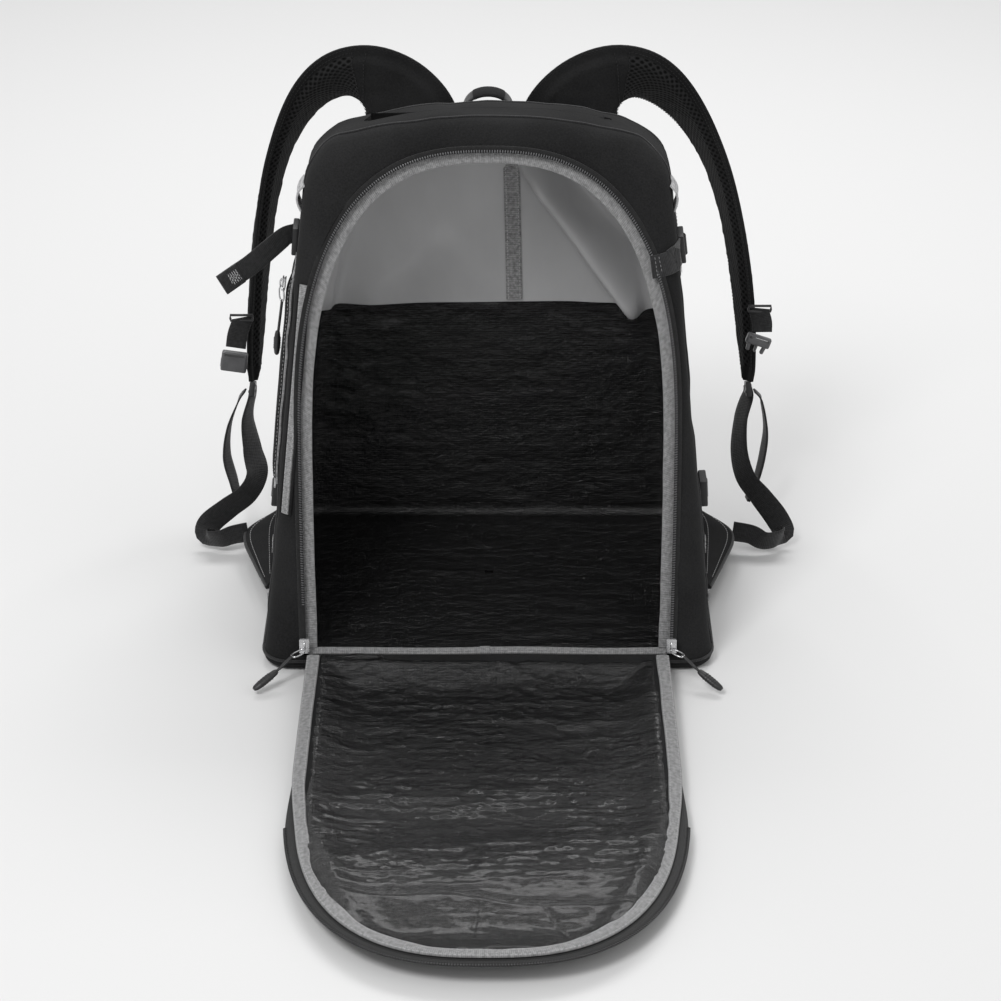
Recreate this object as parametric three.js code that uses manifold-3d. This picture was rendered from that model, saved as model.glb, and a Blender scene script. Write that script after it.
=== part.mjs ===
// Boot backpack standing open: a padded shell on a flat base, whose whole front unzips and folds
// down on a floor-level hinge to become a mat to stand on.
// Millimetres, +Z up, +X to the right of someone facing the open front, origin at the centre of
// the base where it rests on the floor. Every piece is drawn where it lies at rest.

import * as THREE from 'three';
import Module from 'manifold-3d';
import { mergeVertices } from 'three/addons/utils/BufferGeometryUtils.js';

// ---------------------------------------------------------------- driving dimensions
const LEAN = THREE.MathUtils.degToRad(17); // the front leans back
const BASE_DEPTH = 300;
const BASE_HALF_WIDTH = 211;
const TAPER = 0.1; // half width lost per millimetre of height
const BACK_LEAN = 40; // how far the back comes forward by the shoulder
const DOME_START = 452; // the top rounds over from here
const DOME_RADIUS = 36;
const CROWN_DROP = 22; // the top is lower at its corners
const CROWN_HALF = 150;
const TOP_SLOPE = 0.15; // the top falls towards the back
const WALL = 6; // foam and cloth
const FRONT_CORNER = 26;
const BACK_CORNER = 40;
const GAP = 0.3; // between pieces that touch

const HINGE_Z = 18;
const HINGE_Y = -BASE_DEPTH / 2;
const OPENING_HALF = 170;
const OPENING_FOOT_HALF = 168;
const OPENING_LENGTH = 463;
const STRAIGHT_SHARE = 0.43; // of the opening's length, before its arch begins
const ARCH_POWER = 2.6;
const FRONT_BOW = 8; // the stuffed front stands proud at mid length

const FLAP_START = 5; // from the hinge line to the flap's first edge
const FLAP_THICK = 6;
const MAT_THICK = 1.5;
const MAT_CLEARANCE = 2.4; // the mat's facets and the panel's don't line up
const FLAP_HEM = 60; // the dish falls to the floor over this distance from the rim
const PAD_THICK = 12;
const WEBBING_THICK = 1.6;
const WEBBING_NARROW = 20;
const HAUL_HALF = 23; // the carrying loop's half width, foot height and rise
const HAUL_FOOT_Z = 446;
const HAUL_RISE = 22;
const LINING_SEAM_Z = 255; // tarpaulin below, cloth above

const V = (x, y, z) => new THREE.Vector3(x, y, z);
const TAU = 2 * Math.PI;

// ---------------------------------------------------------------- materials
const finish = (color, roughness, metalness = 0) =>
  new THREE.MeshStandardMaterial({ color, roughness, metalness });
const MATERIALS = {
  pack_cloth: finish(0x1b1b1d, 0.85),
  grey_lining: finish(0x77777a, 0.6),
  tarpaulin: finish(0x121214, 0.3),
  grey_binding: finish(0x8b8b8d, 0.9),
  zip_tape: finish(0x151516, 0.8),
  webbing: finish(0x19191b, 0.85),
  air_mesh: finish(0x161617, 0.95),
  light_tab: finish(0xb4b4b6, 0.7),
  black_plastic: finish(0x202022, 0.45),
  grey_plastic: finish(0x55565a, 0.4),
  zip_metal: finish(0xb8b8ba, 0.3, 1),
};
for (const [slot, material] of Object.entries(MATERIALS)) material.name = slot;

// ---------------------------------------------------------------- mesh helpers
const wasm = await Module();
wasm.setup();

function indexedGeometry(vertices, faces) {
  let volume = 0;
  const cross = V();
  for (const [a, b, c] of faces) {
    volume += vertices[a].dot(cross.crossVectors(vertices[b], vertices[c]));
  }
  const order = volume < 0 ? faces.map(([a, b, c]) => [a, c, b]) : faces;
  const geometry = new THREE.BufferGeometry();
  geometry.setAttribute('position', new THREE.Float32BufferAttribute(vertices.flatMap((v) => v.toArray()), 3));
  geometry.setIndex(order.flat());
  return geometry;
}

// A closed solid through equal rings of points, capped at both ends.
function loft(rings) {
  const count = rings[0].length;
  const vertices = rings.flat();
  const faces = [];
  for (let r = 0; r + 1 < rings.length; r++) {
    for (let i = 0; i < count; i++) {
      const j = (i + 1) % count;
      const low = r * count;
      const high = low + count;
      faces.push([low + i, low + j, high + j], [low + i, high + j, high + i]);
    }
  }
  for (const [start, flip] of [[0, true], [(rings.length - 1) * count, false]]) {
    const centre = V(0, 0, 0);
    for (let i = 0; i < count; i++) centre.addScaledVector(vertices[start + i], 1 / count);
    vertices.push(centre);
    for (let i = 0; i < count; i++) {
      const [a, b] = [start + i, start + ((i + 1) % count)];
      faces.push(flip ? [vertices.length - 1, b, a] : [vertices.length - 1, a, b]);
    }
  }
  return indexedGeometry(vertices, faces);
}

function toSolid(geometry) {
  const plain = geometry.clone();
  plain.deleteAttribute('normal');
  plain.deleteAttribute('uv');
  const merged = mergeVertices(plain, 1e-4);
  return new wasm.Manifold(new wasm.Mesh({
    numProp: 3,
    vertProperties: new Float32Array(merged.attributes.position.array),
    triVerts: new Uint32Array(merged.index.array),
  }));
}

function toGeometry(solid) {
  const mesh = solid.getMesh();
  const geometry = new THREE.BufferGeometry();
  const stride = mesh.numProp;
  const position = [];
  for (let i = 0; i < mesh.vertProperties.length; i += stride) {
    position.push(mesh.vertProperties[i], mesh.vertProperties[i + 1], mesh.vertProperties[i + 2]);
  }
  geometry.setAttribute('position', new THREE.Float32BufferAttribute(position, 3));
  geometry.setIndex([...mesh.triVerts]);
  return geometry;
}

// Two overlapping pieces moulded into one.
const joined = (a, b) => toGeometry(toSolid(a).add(toSolid(b)));

function slab(x0, x1, y0, y1, z0, z1) {
  const box = new THREE.BoxGeometry(x1 - x0, y1 - y0, z1 - z0);
  box.translate((x0 + x1) / 2, (y0 + y1) / 2, (z0 + z1) / 2);
  return toSolid(box);
}

const ease = (t) => {
  const c = Math.min(Math.max(t, 0), 1);
  return c * c * (3 - 2 * c);
};

// ---------------------------------------------------------------- the front and its opening
const bow = (s) => FRONT_BOW * Math.sin(Math.PI * Math.min(Math.max(s / OPENING_LENGTH, 0), 1));

// x across, s up the front from the hinge, d into the bag.
function onFront(x, s, d) {
  const out = bow(s) - d;
  return V(x, HINGE_Y + s * Math.sin(LEAN) - out * Math.cos(LEAN), HINGE_Z + s * Math.cos(LEAN) + out * Math.sin(LEAN));
}

// The same coordinates on the flap, folded down on the floor: s towards the viewer, d up.
const onFlap = (x, s, d) => V(x, HINGE_Y - s, HINGE_Z - bow(s) + d);

function openingHalf(share) {
  if (share < STRAIGHT_SHARE) {
    const foot = Math.sin((share / STRAIGHT_SHARE) * Math.PI / 2);
    return OPENING_FOOT_HALF + (OPENING_HALF - OPENING_FOOT_HALF) * foot;
  }
  const t = (share - STRAIGHT_SHARE) / (1 - STRAIGHT_SHARE);
  return OPENING_HALF * Math.max(1 - t ** ARCH_POWER, 0) ** (1 / ARCH_POWER);
}

// Points along the opening's edge from its right foot over the arch to its left foot. grow moves
// the edge outwards; from is where each foot starts, as a share of the length.
function openingEdge(grow, from = 0, archSteps = 11) {
  const right = [];
  const straightSteps = 4;
  for (let i = 0; i < straightSteps; i++) {
    const share = from + (STRAIGHT_SHARE - from) * (i / straightSteps);
    right.push([openingHalf(share), share]);
  }
  for (let i = 0; i < archSteps; i++) {
    const angle = (i / archSteps) * Math.PI / 2;
    const x = OPENING_HALF * Math.cos(angle) ** (2 / ARCH_POWER);
    const t = Math.sin(angle) ** (2 / ARCH_POWER);
    right.push([x, STRAIGHT_SHARE + (1 - STRAIGHT_SHARE) * t]);
  }
  const scaled = right.map(([x, share]) => [
    x * (OPENING_HALF + grow) / OPENING_HALF,
    share * (OPENING_LENGTH + grow),
  ]);
  const left = scaled.map(([x, s]) => [-x, s]).reverse();
  return [...scaled, [0, OPENING_LENGTH + grow], ...left];
}

// A band that follows the opening's edge, between two growths and two depths.
function edgeBand(place, growIn, growOut, d0, d1, from = 0) {
  const inner = openingEdge(growIn, from);
  const outer = openingEdge(growOut, from);
  return loft(inner.map(([x, s], i) => [
    place(x, s, d0),
    place(outer[i][0], outer[i][1], d0),
    place(outer[i][0], outer[i][1], d1),
    place(x, s, d1),
  ]));
}

// The space of the opening itself, to cut walls with.
function openingPrism(grow, d0, d1, foot) {
  const edge = openingEdge(grow).map(([x, s], i, all) => [x, i === 0 || i === all.length - 1 ? foot : s]);
  return toSolid(loft([d0, d1].map((d) => edge.map(([x, s]) => onFront(x, s, d)))));
}

// ---------------------------------------------------------------- the shell
function frontY(z) {
  const up = Math.max(z - HINGE_Z, 0);
  return HINGE_Y + up * Math.tan(LEAN) - bow(up / Math.cos(LEAN)) / Math.cos(LEAN);
}
const backY = (z) => BASE_DEPTH / 2 - BACK_LEAN * (z / DOME_START) ** 1.2;
const halfWidth = (z) => BASE_HALF_WIDTH - TAPER * z;

// One level of the body, as a ring of points: a rectangle with rounded corners.
function bodyRing(z, inset) {
  const half = halfWidth(z) - inset;
  const [front, back] = [frontY(z) + inset, backY(z) - inset];
  const rf = Math.max(FRONT_CORNER - inset, 5);
  const rb = Math.max(BACK_CORNER - inset, 5);
  const corners = [
    [half - rf, front + rf, rf, -Math.PI / 2, 2],
    [half - rb, back - rb, rb, 0, 2],
    [-half + rb, back - rb, rb, Math.PI / 2, 2],
    [-half + rf, front + rf, rf, Math.PI, 5],
  ];
  const flat = [];
  const arcSteps = 4;
  corners.forEach(([cx, cy, r, start, splits], c) => {
    for (let i = 0; i <= arcSteps; i++) {
      const angle = start + (i / arcSteps) * Math.PI / 2;
      flat.push([cx + r * Math.cos(angle), cy + r * Math.sin(angle)]);
    }
    const [nx, ny, nr, nextStart] = corners[(c + 1) % 4];
    const [ax, ay] = flat[flat.length - 1];
    const [bx, by] = [nx + nr * Math.cos(nextStart), ny + nr * Math.sin(nextStart)];
    for (let i = 1; i <= splits; i++) {
      const t = i / (splits + 1);
      flat.push([ax + (bx - ax) * t, ay + (by - ay) * t]);
    }
  });
  const near = ease((z - 400) / 88);
  return flat.map(([x, y]) => {
    const crown = CROWN_DROP * (x / CROWN_HALF) ** 2;
    return V(x, y, z - near * (crown + TOP_SLOPE * Math.max(y - 10, 0)));
  });
}

// The body's outer form, shrunk by a wall thickness.
function bodySolid(shrink) {
  const floor = shrink > 0 ? shrink + 2 : 0;
  const rows = [[floor, shrink + 9], [floor + 3, shrink + 3.6], [floor + 9, shrink]];
  for (const z of [24, 70, 130, 190, 250, 310, 365, 410, DOME_START]) rows.push([z, shrink]);
  const radius = DOME_RADIUS - shrink;
  for (const degrees of [22, 44, 66, 88]) {
    const angle = THREE.MathUtils.degToRad(degrees);
    rows.push([DOME_START + radius * Math.sin(angle), shrink + radius * (1 - Math.cos(angle))]);
  }
  rows.push([DOME_START + radius, DOME_RADIUS + 9]);
  return toSolid(loft(rows.map(([z, inset]) => bodyRing(z, inset))));
}

// Everything deeper than `depth` behind the leaning front, as a cutter.
function behindFront(depth) {
  const rows = [-40, 12, 60, 130, 200, 270, 340, 410, 470, 560];
  return toSolid(loft(rows.map((z) => {
    const y = frontY(z) + depth;
    return [V(-400, y, z), V(400, y, z), V(400, 400, z), V(-400, 400, z)];
  })));
}

function beyondBack(depth) {
  const rows = [-40, 0, 80, 160, 240, 320, 400, 470, 560];
  return toSolid(loft(rows.map((z) => {
    const y = backY(Math.max(z, 0)) - depth;
    return [V(-400, y, z), V(400, y, z), V(400, 400, z), V(-400, 400, z)];
  })));
}

function shellPieces() {
  const frontDepth = 30;
  const backDepth = 44;
  const baseTop = 10;
  const topStart = 430;
  const outline = bodySolid(0);
  const wall = outline.subtract(bodySolid(WALL)).subtract(openingPrism(6, -60, 40, -2));
  const above = wall.intersect(slab(-400, 400, -400, 400, baseTop + GAP / 2, 700));
  const back = above.intersect(beyondBack(backDepth - GAP / 2));
  const rest = above.subtract(beyondBack(backDepth + GAP / 2));
  const front = rest.subtract(behindFront(frontDepth - GAP / 2));
  const middle = rest.intersect(behindFront(frontDepth + GAP / 2));
  return {
    base_panel: wall.intersect(slab(-400, 400, -400, 400, -10, baseTop - GAP / 2)),
    back_panel: back,
    front_frame: front,
    top_panel: middle.intersect(slab(-400, 400, -400, 400, topStart + GAP / 2, 700)),
    side_panel_left: middle.intersect(slab(-400, 0, -400, 400, 0, topStart - GAP / 2)),
    side_panel_right: middle.intersect(slab(0, 400, -400, 400, 0, topStart - GAP / 2)),
  };
}

function liningPieces() {
  const outer = WALL + GAP;
  const thick = 1.2;
  const skin = bodySolid(outer).subtract(bodySolid(outer + thick)).subtract(openingPrism(14, -60, 10, -14));
  return {
    cloth_lining: skin.intersect(slab(-400, 400, -400, 400, LINING_SEAM_Z + GAP / 2, 700)),
    tarpaulin_liner: skin.intersect(slab(-400, 400, -400, 400, -10, LINING_SEAM_Z - GAP / 2)),
  };
}

// ---------------------------------------------------------------- the flap
// Height of the dished flap's underside above the floor: flat on the floor inside, up to the rim.
function flapUnderside(x, s, edgeShare) {
  const rim = HINGE_Z - bow(s) - 1.5;
  const half = openingHalf(Math.min(s / OPENING_LENGTH, 1));
  const inside = Math.min(half - Math.abs(x), OPENING_LENGTH - s, s * 1.2);
  const drop = ease(Math.max(inside, 0) / FLAP_HEM);
  return edgeShare ? rim : rim * (1 - drop);
}

// A sheet over the flap's outline, `grow` inside its edge, between two heights over the underside.
function flapSheet(grow, low, high) {
  const columns = [-1, -0.95, -0.86, -0.74, -0.6, -0.3, 0, 0.3, 0.6, 0.74, 0.86, 0.95, 1];
  const end = OPENING_LENGTH + grow;
  const rows = [FLAP_START, 18, 36, 58, 90, 140, 199];
  for (const angle of [20, 36, 48, 58, 67, 75, 82]) {
    const t = Math.sin(THREE.MathUtils.degToRad(angle)) ** (2 / ARCH_POWER);
    rows.push((STRAIGHT_SHARE + (1 - STRAIGHT_SHARE) * t) * end);
  }
  const point = (c, s, lift) => {
    const half = openingHalf(s / end) * (OPENING_HALF + grow) / OPENING_HALF;
    const x = c * half;
    return V(x, HINGE_Y - s, flapUnderside(x, s, false) + lift);
  };
  return loft(rows.map((s) => [
    ...columns.map((c) => point(c, s, low)),
    ...[...columns].reverse().map((c) => point(c, s, high)),
  ]));
}

// ---------------------------------------------------------------- straps and webbing
const FACE = V(0, -1, 0);

// Width and face directions of a strap at a point of its route, turned about the route by twist.
function strapFrame(points, i, side, twist) {
  const before = points[Math.max(i - 1, 0)];
  const after = points[Math.min(i + 1, points.length - 1)];
  const along = after.clone().sub(before).normalize();
  const face = FACE.clone().addScaledVector(along, -FACE.dot(along)).normalize();
  const out = V().crossVectors(along, face).multiplyScalar(-side);
  const angle = THREE.MathUtils.degToRad(twist);
  return {
    out: out.clone().multiplyScalar(Math.cos(angle)).addScaledVector(face, Math.sin(angle)),
    face: face.clone().multiplyScalar(Math.cos(angle)).addScaledVector(out, -Math.sin(angle)),
  };
}

// Sections along a route whose rows are [x, y, z, width, twist], with soft corners when rounded.
function strapRings(route, side, thick, rounded) {
  const points = route.map(([x, y, z]) => V(x, y, z));
  const corners = [];
  const steps = rounded ? 12 : 4;
  for (let i = 0; i < steps; i++) {
    const angle = ((i + 0.5) / steps) * TAU;
    const [c, s] = [Math.cos(angle), Math.sin(angle)];
    const power = rounded ? 0.45 : 0;
    corners.push([Math.sign(c) * Math.abs(c) ** power, Math.sign(s) * Math.abs(s) ** power]);
  }
  return points.map((p, i) => {
    const [width, twist] = [route[i][3], route[i][4]];
    const { out, face } = strapFrame(points, i, side, twist);
    return corners.map(([a, b]) => p.clone()
      .addScaledVector(out, a * width / 2)
      .addScaledVector(face, b * thick / 2));
  });
}
const strap = (...args) => loft(strapRings(...args));

// A round cord along a smooth route.
function cord(route, radius, sides = 8, steps = 14) {
  const curve = new THREE.CatmullRomCurve3(route.map(([x, y, z]) => V(x, y, z)));
  const section = new THREE.Shape();
  section.absarc(0, 0, radius, 0, TAU, false);
  const outline = section.getPoints(sides).slice(0, -1);
  const geometry = new THREE.ExtrudeGeometry(new THREE.Shape(outline), { steps, extrudePath: curve });
  geometry.deleteAttribute('normal');
  geometry.deleteAttribute('uv');
  return mergeVertices(geometry, 1e-4);
}

// A flat ring (rounded rectangle with a rounded slot), standing on a frame of three directions.
function flatRing(centre, across, along, halfWide, halfLong, bar, thick) {
  const shape = new THREE.Shape();
  const rounded = (path, w, h, r) => {
    path.absarc(w - r, h - r, r, 0, Math.PI / 2, false);
    path.absarc(-w + r, h - r, r, Math.PI / 2, Math.PI, false);
    path.absarc(-w + r, -h + r, r, Math.PI, 1.5 * Math.PI, false);
    path.absarc(w - r, -h + r, r, 1.5 * Math.PI, TAU, false);
  };
  const corner = Math.min(halfWide, halfLong) * 0.6;
  rounded(shape, halfWide, halfLong, corner);
  const slot = new THREE.Path();
  rounded(slot, halfWide - bar, halfLong - bar, Math.max(corner - bar, 0.5));
  shape.holes.push(slot);
  const geometry = new THREE.ExtrudeGeometry(shape, { depth: thick, bevelEnabled: false, curveSegments: 3 });
  geometry.translate(0, 0, -thick / 2);
  const normal = V().crossVectors(across, along).normalize();
  const up = V().crossVectors(normal, across).normalize();
  const matrix = new THREE.Matrix4().makeBasis(across.clone().normalize(), up, normal).setPosition(centre);
  geometry.applyMatrix4(matrix);
  geometry.deleteAttribute('normal');
  geometry.deleteAttribute('uv');
  return mergeVertices(geometry, 1e-4);
}

// A block that tapers towards one end, for sliders, buckle halves and grips.
function taperedBlock(start, end, across, widths, thicks) {
  const along = end.clone().sub(start);
  const width = across.clone().addScaledVector(along, -across.dot(along) / along.lengthSq()).normalize();
  const thick = V().crossVectors(along, width).normalize();
  return loft(widths.map((w, i) => {
    const p = start.clone().addScaledVector(along, i / (widths.length - 1));
    const [a, b] = [w / 2, thicks[i] / 2];
    const soft = 0.6;
    const corners = [[1, soft], [soft, 1], [-soft, 1], [-1, soft], [-1, -soft], [-soft, -1], [soft, -1], [1, -soft]];
    return corners.map(([u, v]) => p.clone().addScaledVector(width, u * a).addScaledVector(thick, v * b));
  }));
}

// A flat piece that lies on a side panel, following its taper: rows of [y low, y high, z].
function onSide(side, rows, low, high) {
  return loft(rows.map(([y0, y1, z]) => {
    const [inside, outside] = [side * (halfWidth(z) + low), side * (halfWidth(z) + high)];
    return [V(inside, y0, z), V(outside, y0, z), V(outside, y1, z), V(inside, y1, z)];
  }));
}

// A cushion that lies on the back panel, between two widths and heights.
function onBack(x0, x1, z0, z1, thick) {
  const bevel = 7;
  const rows = 5;
  const ring = (inset, lift) => {
    const points = [];
    const edge = (ax, az, bx, bz) => {
      for (let i = 0; i < rows; i++) points.push([ax + (bx - ax) * (i / rows), az + (bz - az) * (i / rows)]);
    };
    edge(x0 + inset, z0 + inset, x1 - inset, z0 + inset);
    edge(x1 - inset, z0 + inset, x1 - inset, z1 - inset);
    edge(x1 - inset, z1 - inset, x0 + inset, z1 - inset);
    edge(x0 + inset, z1 - inset, x0 + inset, z0 + inset);
    return points.map(([x, z]) => V(x, backY(z) + lift, z));
  };
  return loft([ring(0, 1.2), ring(0, thick - 5), ring(bevel, thick)]);
}

// ---------------------------------------------------------------- where the soft straps lie
// Rows are [x, y, z, width, twist] from the yoke over the arch to the pad's end.
const PAD_ROUTES = {
  left: [
    [-66, 121, 424, 90, 0], [-76, 121, 448, 88, 0], [-92, 125, 466, 82, 4], [-115, 135, 475, 76, 14],
    [-141, 150, 470, 70, 30], [-167, 166, 448, 66, 48], [-190, 180, 412, 64, 63], [-208, 191, 366, 63, 72],
    [-221, 198, 308, 62, 78], [-229, 199, 248, 60, 80], [-234, 194, 196, 54, 80], [-237, 186, 158, 40, 80],
    [-238, 181, 140, 26, 80],
  ],
  right: [
    [68, 121, 424, 90, 0], [80, 121, 448, 88, 0], [98, 126, 466, 82, 4], [122, 136, 475, 76, 14],
    [149, 151, 469, 70, 28], [176, 167, 446, 66, 44], [202, 181, 409, 64, 58], [224, 192, 362, 63, 67],
    [241, 199, 304, 62, 72], [252, 200, 244, 60, 73], [258, 195, 194, 54, 74], [261, 186, 158, 40, 75],
    [261, 181, 140, 26, 75],
  ],
};
const YOKE_RINGS = 4; // the sewn-on root of each shoulder strap
const WEBBING_ROUTES = {
  left: [
    [-239, 173, 127, 24, 74], [-243, 160, 106, 24, 66], [-238, 141, 82, 24, 50], [-233, 122, 64, 24, 30],
    [-242, 108, 49, 24, 14], [-262, 100, 36, 24, 4], [-280, 90, 24, 24, -8], [-282, 78, 16, 22, -20],
    [-268, 72, 17, 22, -14], [-255, 75, 20, 22, -6], [-247, 76, 20, 22, 0],
  ],
  right: [
    [261, 173, 127, 24, 72], [254, 160, 106, 24, 66], [252, 141, 80, 24, 48], [258, 122, 60, 24, 26],
    [273, 110, 44, 24, 10], [288, 100, 27, 24, 0], [295, 86, 17, 22, -10], [288, 74, 16, 22, -16],
    [274, 70, 16, 22, -10], [261, 74, 21, 22, -4], [251, 76, 22, 22, 0],
  ],
};
const TAIL_ROUTES = {
  left: [[-253, 168, 122, 20, 84], [-262, 156, 100, 20, 80], [-264, 140, 76, 20, 76], [-257, 124, 54, 20, 78], [-251, 114, 34, 20, 82]],
  right: [[275, 168, 122, 20, 84], [279, 156, 98, 20, 84], [276, 142, 76, 20, 82], [270, 131, 54, 18, 84], [262, 126, 32, 16, 90]],
};
const SIDES = [['left', -1], ['right', 1]];

// ---------------------------------------------------------------- the assembly
const pack = new THREE.Group();
pack.name = 'boot_backpack';
const bodies = {};
function bodyGroup(name) {
  if (!bodies[name]) {
    bodies[name] = new THREE.Group();
    bodies[name].name = `${name}_body`;
    pack.add(bodies[name]);
  }
  return bodies[name];
}
function add(body, name, material, geometry) {
  const mesh = new THREE.Mesh(geometry, MATERIALS[material]);
  mesh.name = name;
  bodyGroup(body).add(mesh);
}

function addShell() {
  for (const [name, solid] of Object.entries(shellPieces())) add('bag', name, 'pack_cloth', toGeometry(solid));
  const lining = liningPieces();
  add('bag', 'cloth_lining', 'grey_lining', toGeometry(lining.cloth_lining));
  add('bag', 'tarpaulin_liner', 'tarpaulin', toGeometry(lining.tarpaulin_liner));
  const binding = toSolid(edgeBand(onFront, -9, 8, WALL + GAP, WALL + GAP + 1.5, 0.012));
  add('bag', 'opening_binding', 'grey_binding', toGeometry(binding.intersect(bodySolid(WALL + GAP))));
  add('bag', 'opening_zip_tape', 'zip_tape', edgeBand(onFront, 1, 5.7, 0.5, 3.5, 0.012));
  const sill = [HINGE_Y + 3, HINGE_Y + 9];
  add('bag', 'sill_binding', 'grey_binding', toGeometry(slab(-162, 162, sill[0], sill[1], 16.6, 18.4)));
}

function addFlap() {
  add('flap', 'flap_panel', 'pack_cloth', flapSheet(-6.5, 0, FLAP_THICK));
  const matLow = FLAP_THICK + MAT_CLEARANCE;
  add('flap', 'flap_mat', 'tarpaulin', flapSheet(-13, matLow, matLow + MAT_THICK));
  add('flap', 'flap_zip_tape', 'zip_tape', edgeBand(onFlap, -6, -1, 1.7, 3.5, 0.05));
  add('flap', 'flap_binding', 'grey_binding', edgeBand(onFlap, -12.6, -1.5, 4.8, 6, 0.05));
}

// A main slider on each foot of the zip, its wire ring and its cord pull, which lies on the floor.
function addMainSlider(name, side) {
  const x = side * (OPENING_FOOT_HALF + 1.5);
  const middle = -4.4;
  const slider = taperedBlock(onFront(x, 3, middle), onFront(x, 17, middle), V(1, 0, 0), [7, 10, 10, 8], [3, 5, 5, 4]);
  add(`slider_${name}`, `main_slider_${name}`, 'zip_metal', slider);
  const head = onFront(x, 7, -9.2);
  const reach = V(side * 0.78, -0.6, -0.12).normalize();
  const across = V().crossVectors(reach, V(0, 0, 1)).normalize();
  const ringCentre = head.clone().addScaledVector(reach, 7);
  add(`pull_${name}`, `slider_ring_${name}`, 'zip_metal', flatRing(ringCentre, across, reach, 4, 7, 1.4, 1.4));
  const at = (t, drop) => {
    const p = head.clone().addScaledVector(reach, t);
    return [p.x, p.y, Math.max(p.z - drop, 3.4)];
  };
  const cordRoute = [at(14.8, 0), at(20, 2.5), at(26, 5), at(33, 7.5)];
  const grip = taperedBlock(V(...at(31, 7)), V(...at(57, 14)), across, [6, 8.5, 8.5, 7], [5, 6, 6, 5]);
  add(`pull_${name}`, `pull_cord_${name}`, 'black_plastic', joined(cord(cordRoute, 1.5, 8, 6), grip));
}

// The long pocket on the left side: a grey trim, its zip, slider and hanging cord pull.
function addPocket() {
  const rows = (near, far) => [160, 206, 252, 298, 342].map((z) => [frontY(z) + near, frontY(z) + far, z]);
  add('bag', 'pocket_trim', 'grey_binding', onSide(-1, rows(31, 42), 0.5, 2.6));
  add('bag', 'pocket_zip', 'zip_tape', onSide(-1, rows(43, 51), 0.5, 2.2));
  const middle = 47;
  const [top, low] = [338, 326];
  const place = (z, out) => V(-(halfWidth(z) + out), frontY(z) + middle, z);
  const slider = taperedBlock(place(top, 5.2), place(low, 5.2), V(0, 1, 0), [6, 8, 7], [3, 4, 3]);
  add('pocket_slider', 'pocket_slider', 'zip_metal', slider);
  const ringCentre = place(low - 2, 10.4);
  add('pocket_pull', 'pocket_ring', 'zip_metal', flatRing(ringCentre, V(0, 1, 0), V(0, 0, -1), 4, 8, 1.3, 1.3));
  const hang = [315, 300, 284].map((z) => [-(halfWidth(z) + 9), ringCentre.y, z]);
  const [x, y, z] = hang[2];
  const grip = taperedBlock(V(x, y, z + 3), V(x - 2, y, z - 21), V(0, 1, 0), [5, 7, 6], [4, 5, 4]);
  add('pocket_pull', 'pocket_pull_cord', 'black_plastic', joined(cord(hang, 1.4, 8, 5), grip));
}

function addShoulderStrap(name, side) {
  const body = `strap_${name}`;
  const rings = strapRings(PAD_ROUTES[name], side, PAD_THICK, true);
  const yoke = rings.slice(0, YOKE_RINGS);
  const edge = yoke.pop().map((p, i) => p.clone().lerp(yoke[YOKE_RINGS - 2][i], 0.04));
  add('bag', `shoulder_yoke_${name}`, 'pack_cloth', loft([...yoke, edge]));
  add(body, `shoulder_pad_${name}`, 'air_mesh', loft(rings.slice(YOKE_RINGS - 1)));
  const end = PAD_ROUTES[name][PAD_ROUTES[name].length - 1];
  const lockTop = V(end[0], end[1] - 3, end[2] - 2.5);
  const lockEnd = V(end[0] + side * 1, end[1] - 8, end[2] - 12);
  add(body, `ladder_lock_${name}`, 'black_plastic', taperedBlock(lockTop, lockEnd, V(0, -1, 0), [27, 29, 27], [6, 8, 5]));
  add(body, `strap_webbing_${name}`, 'webbing', strap(WEBBING_ROUTES[name], side, WEBBING_THICK, false));
  add(body, `webbing_tail_${name}`, 'webbing', strap(TAIL_ROUTES[name], side, WEBBING_THICK, false));
}

// The wing of cloth that carries the strap's lower end, sewn along the base's side.
function addAnchorWing(name, side) {
  const rows = [[-42, 5], [10, 20], [58, 33], [84, 30], [108, 8]];
  const wing = rows.map(([y, reach]) => {
    const root = halfWidth(30) + 1.5;
    return [
      V(side * root, y, 34), V(side * (root + reach), y, 30 - reach * 0.2),
      V(side * (root + reach), y, 26.5 - reach * 0.2), V(side * root, y, 28),
    ];
  });
  add('bag', `anchor_wing_${name}`, 'pack_cloth', loft(wing));
}

// One half of the chest buckle on each shoulder strap, on its own short webbing.
const STERNUM = {
  left: { hang: [-245, 161, 214], turn: [-252, 160, 186], tip: [-257, 160, 152] },
  right: { hang: [268, 161, 224], turn: [271, 158, 204], tip: [262, 157, 178] },
};
function addSternum(name, side) {
  const { hang, turn, tip } = STERNUM[name];
  const rows = [[...hang, WEBBING_NARROW, 10], [...turn, WEBBING_NARROW, 0]];
  add(`sternum_${name}`, `sternum_webbing_${name}`, 'webbing', strap(rows, side, WEBBING_THICK, false));
  const start = V(...turn).lerp(V(...tip), 0.2);
  const block = taperedBlock(start, V(...tip), V(1, 0, 0), [24, 25, 20, 14], [6, 7, 6, 4]);
  add(`sternum_${name}`, `sternum_buckle_${name}`, 'grey_plastic', block);
}

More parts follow.
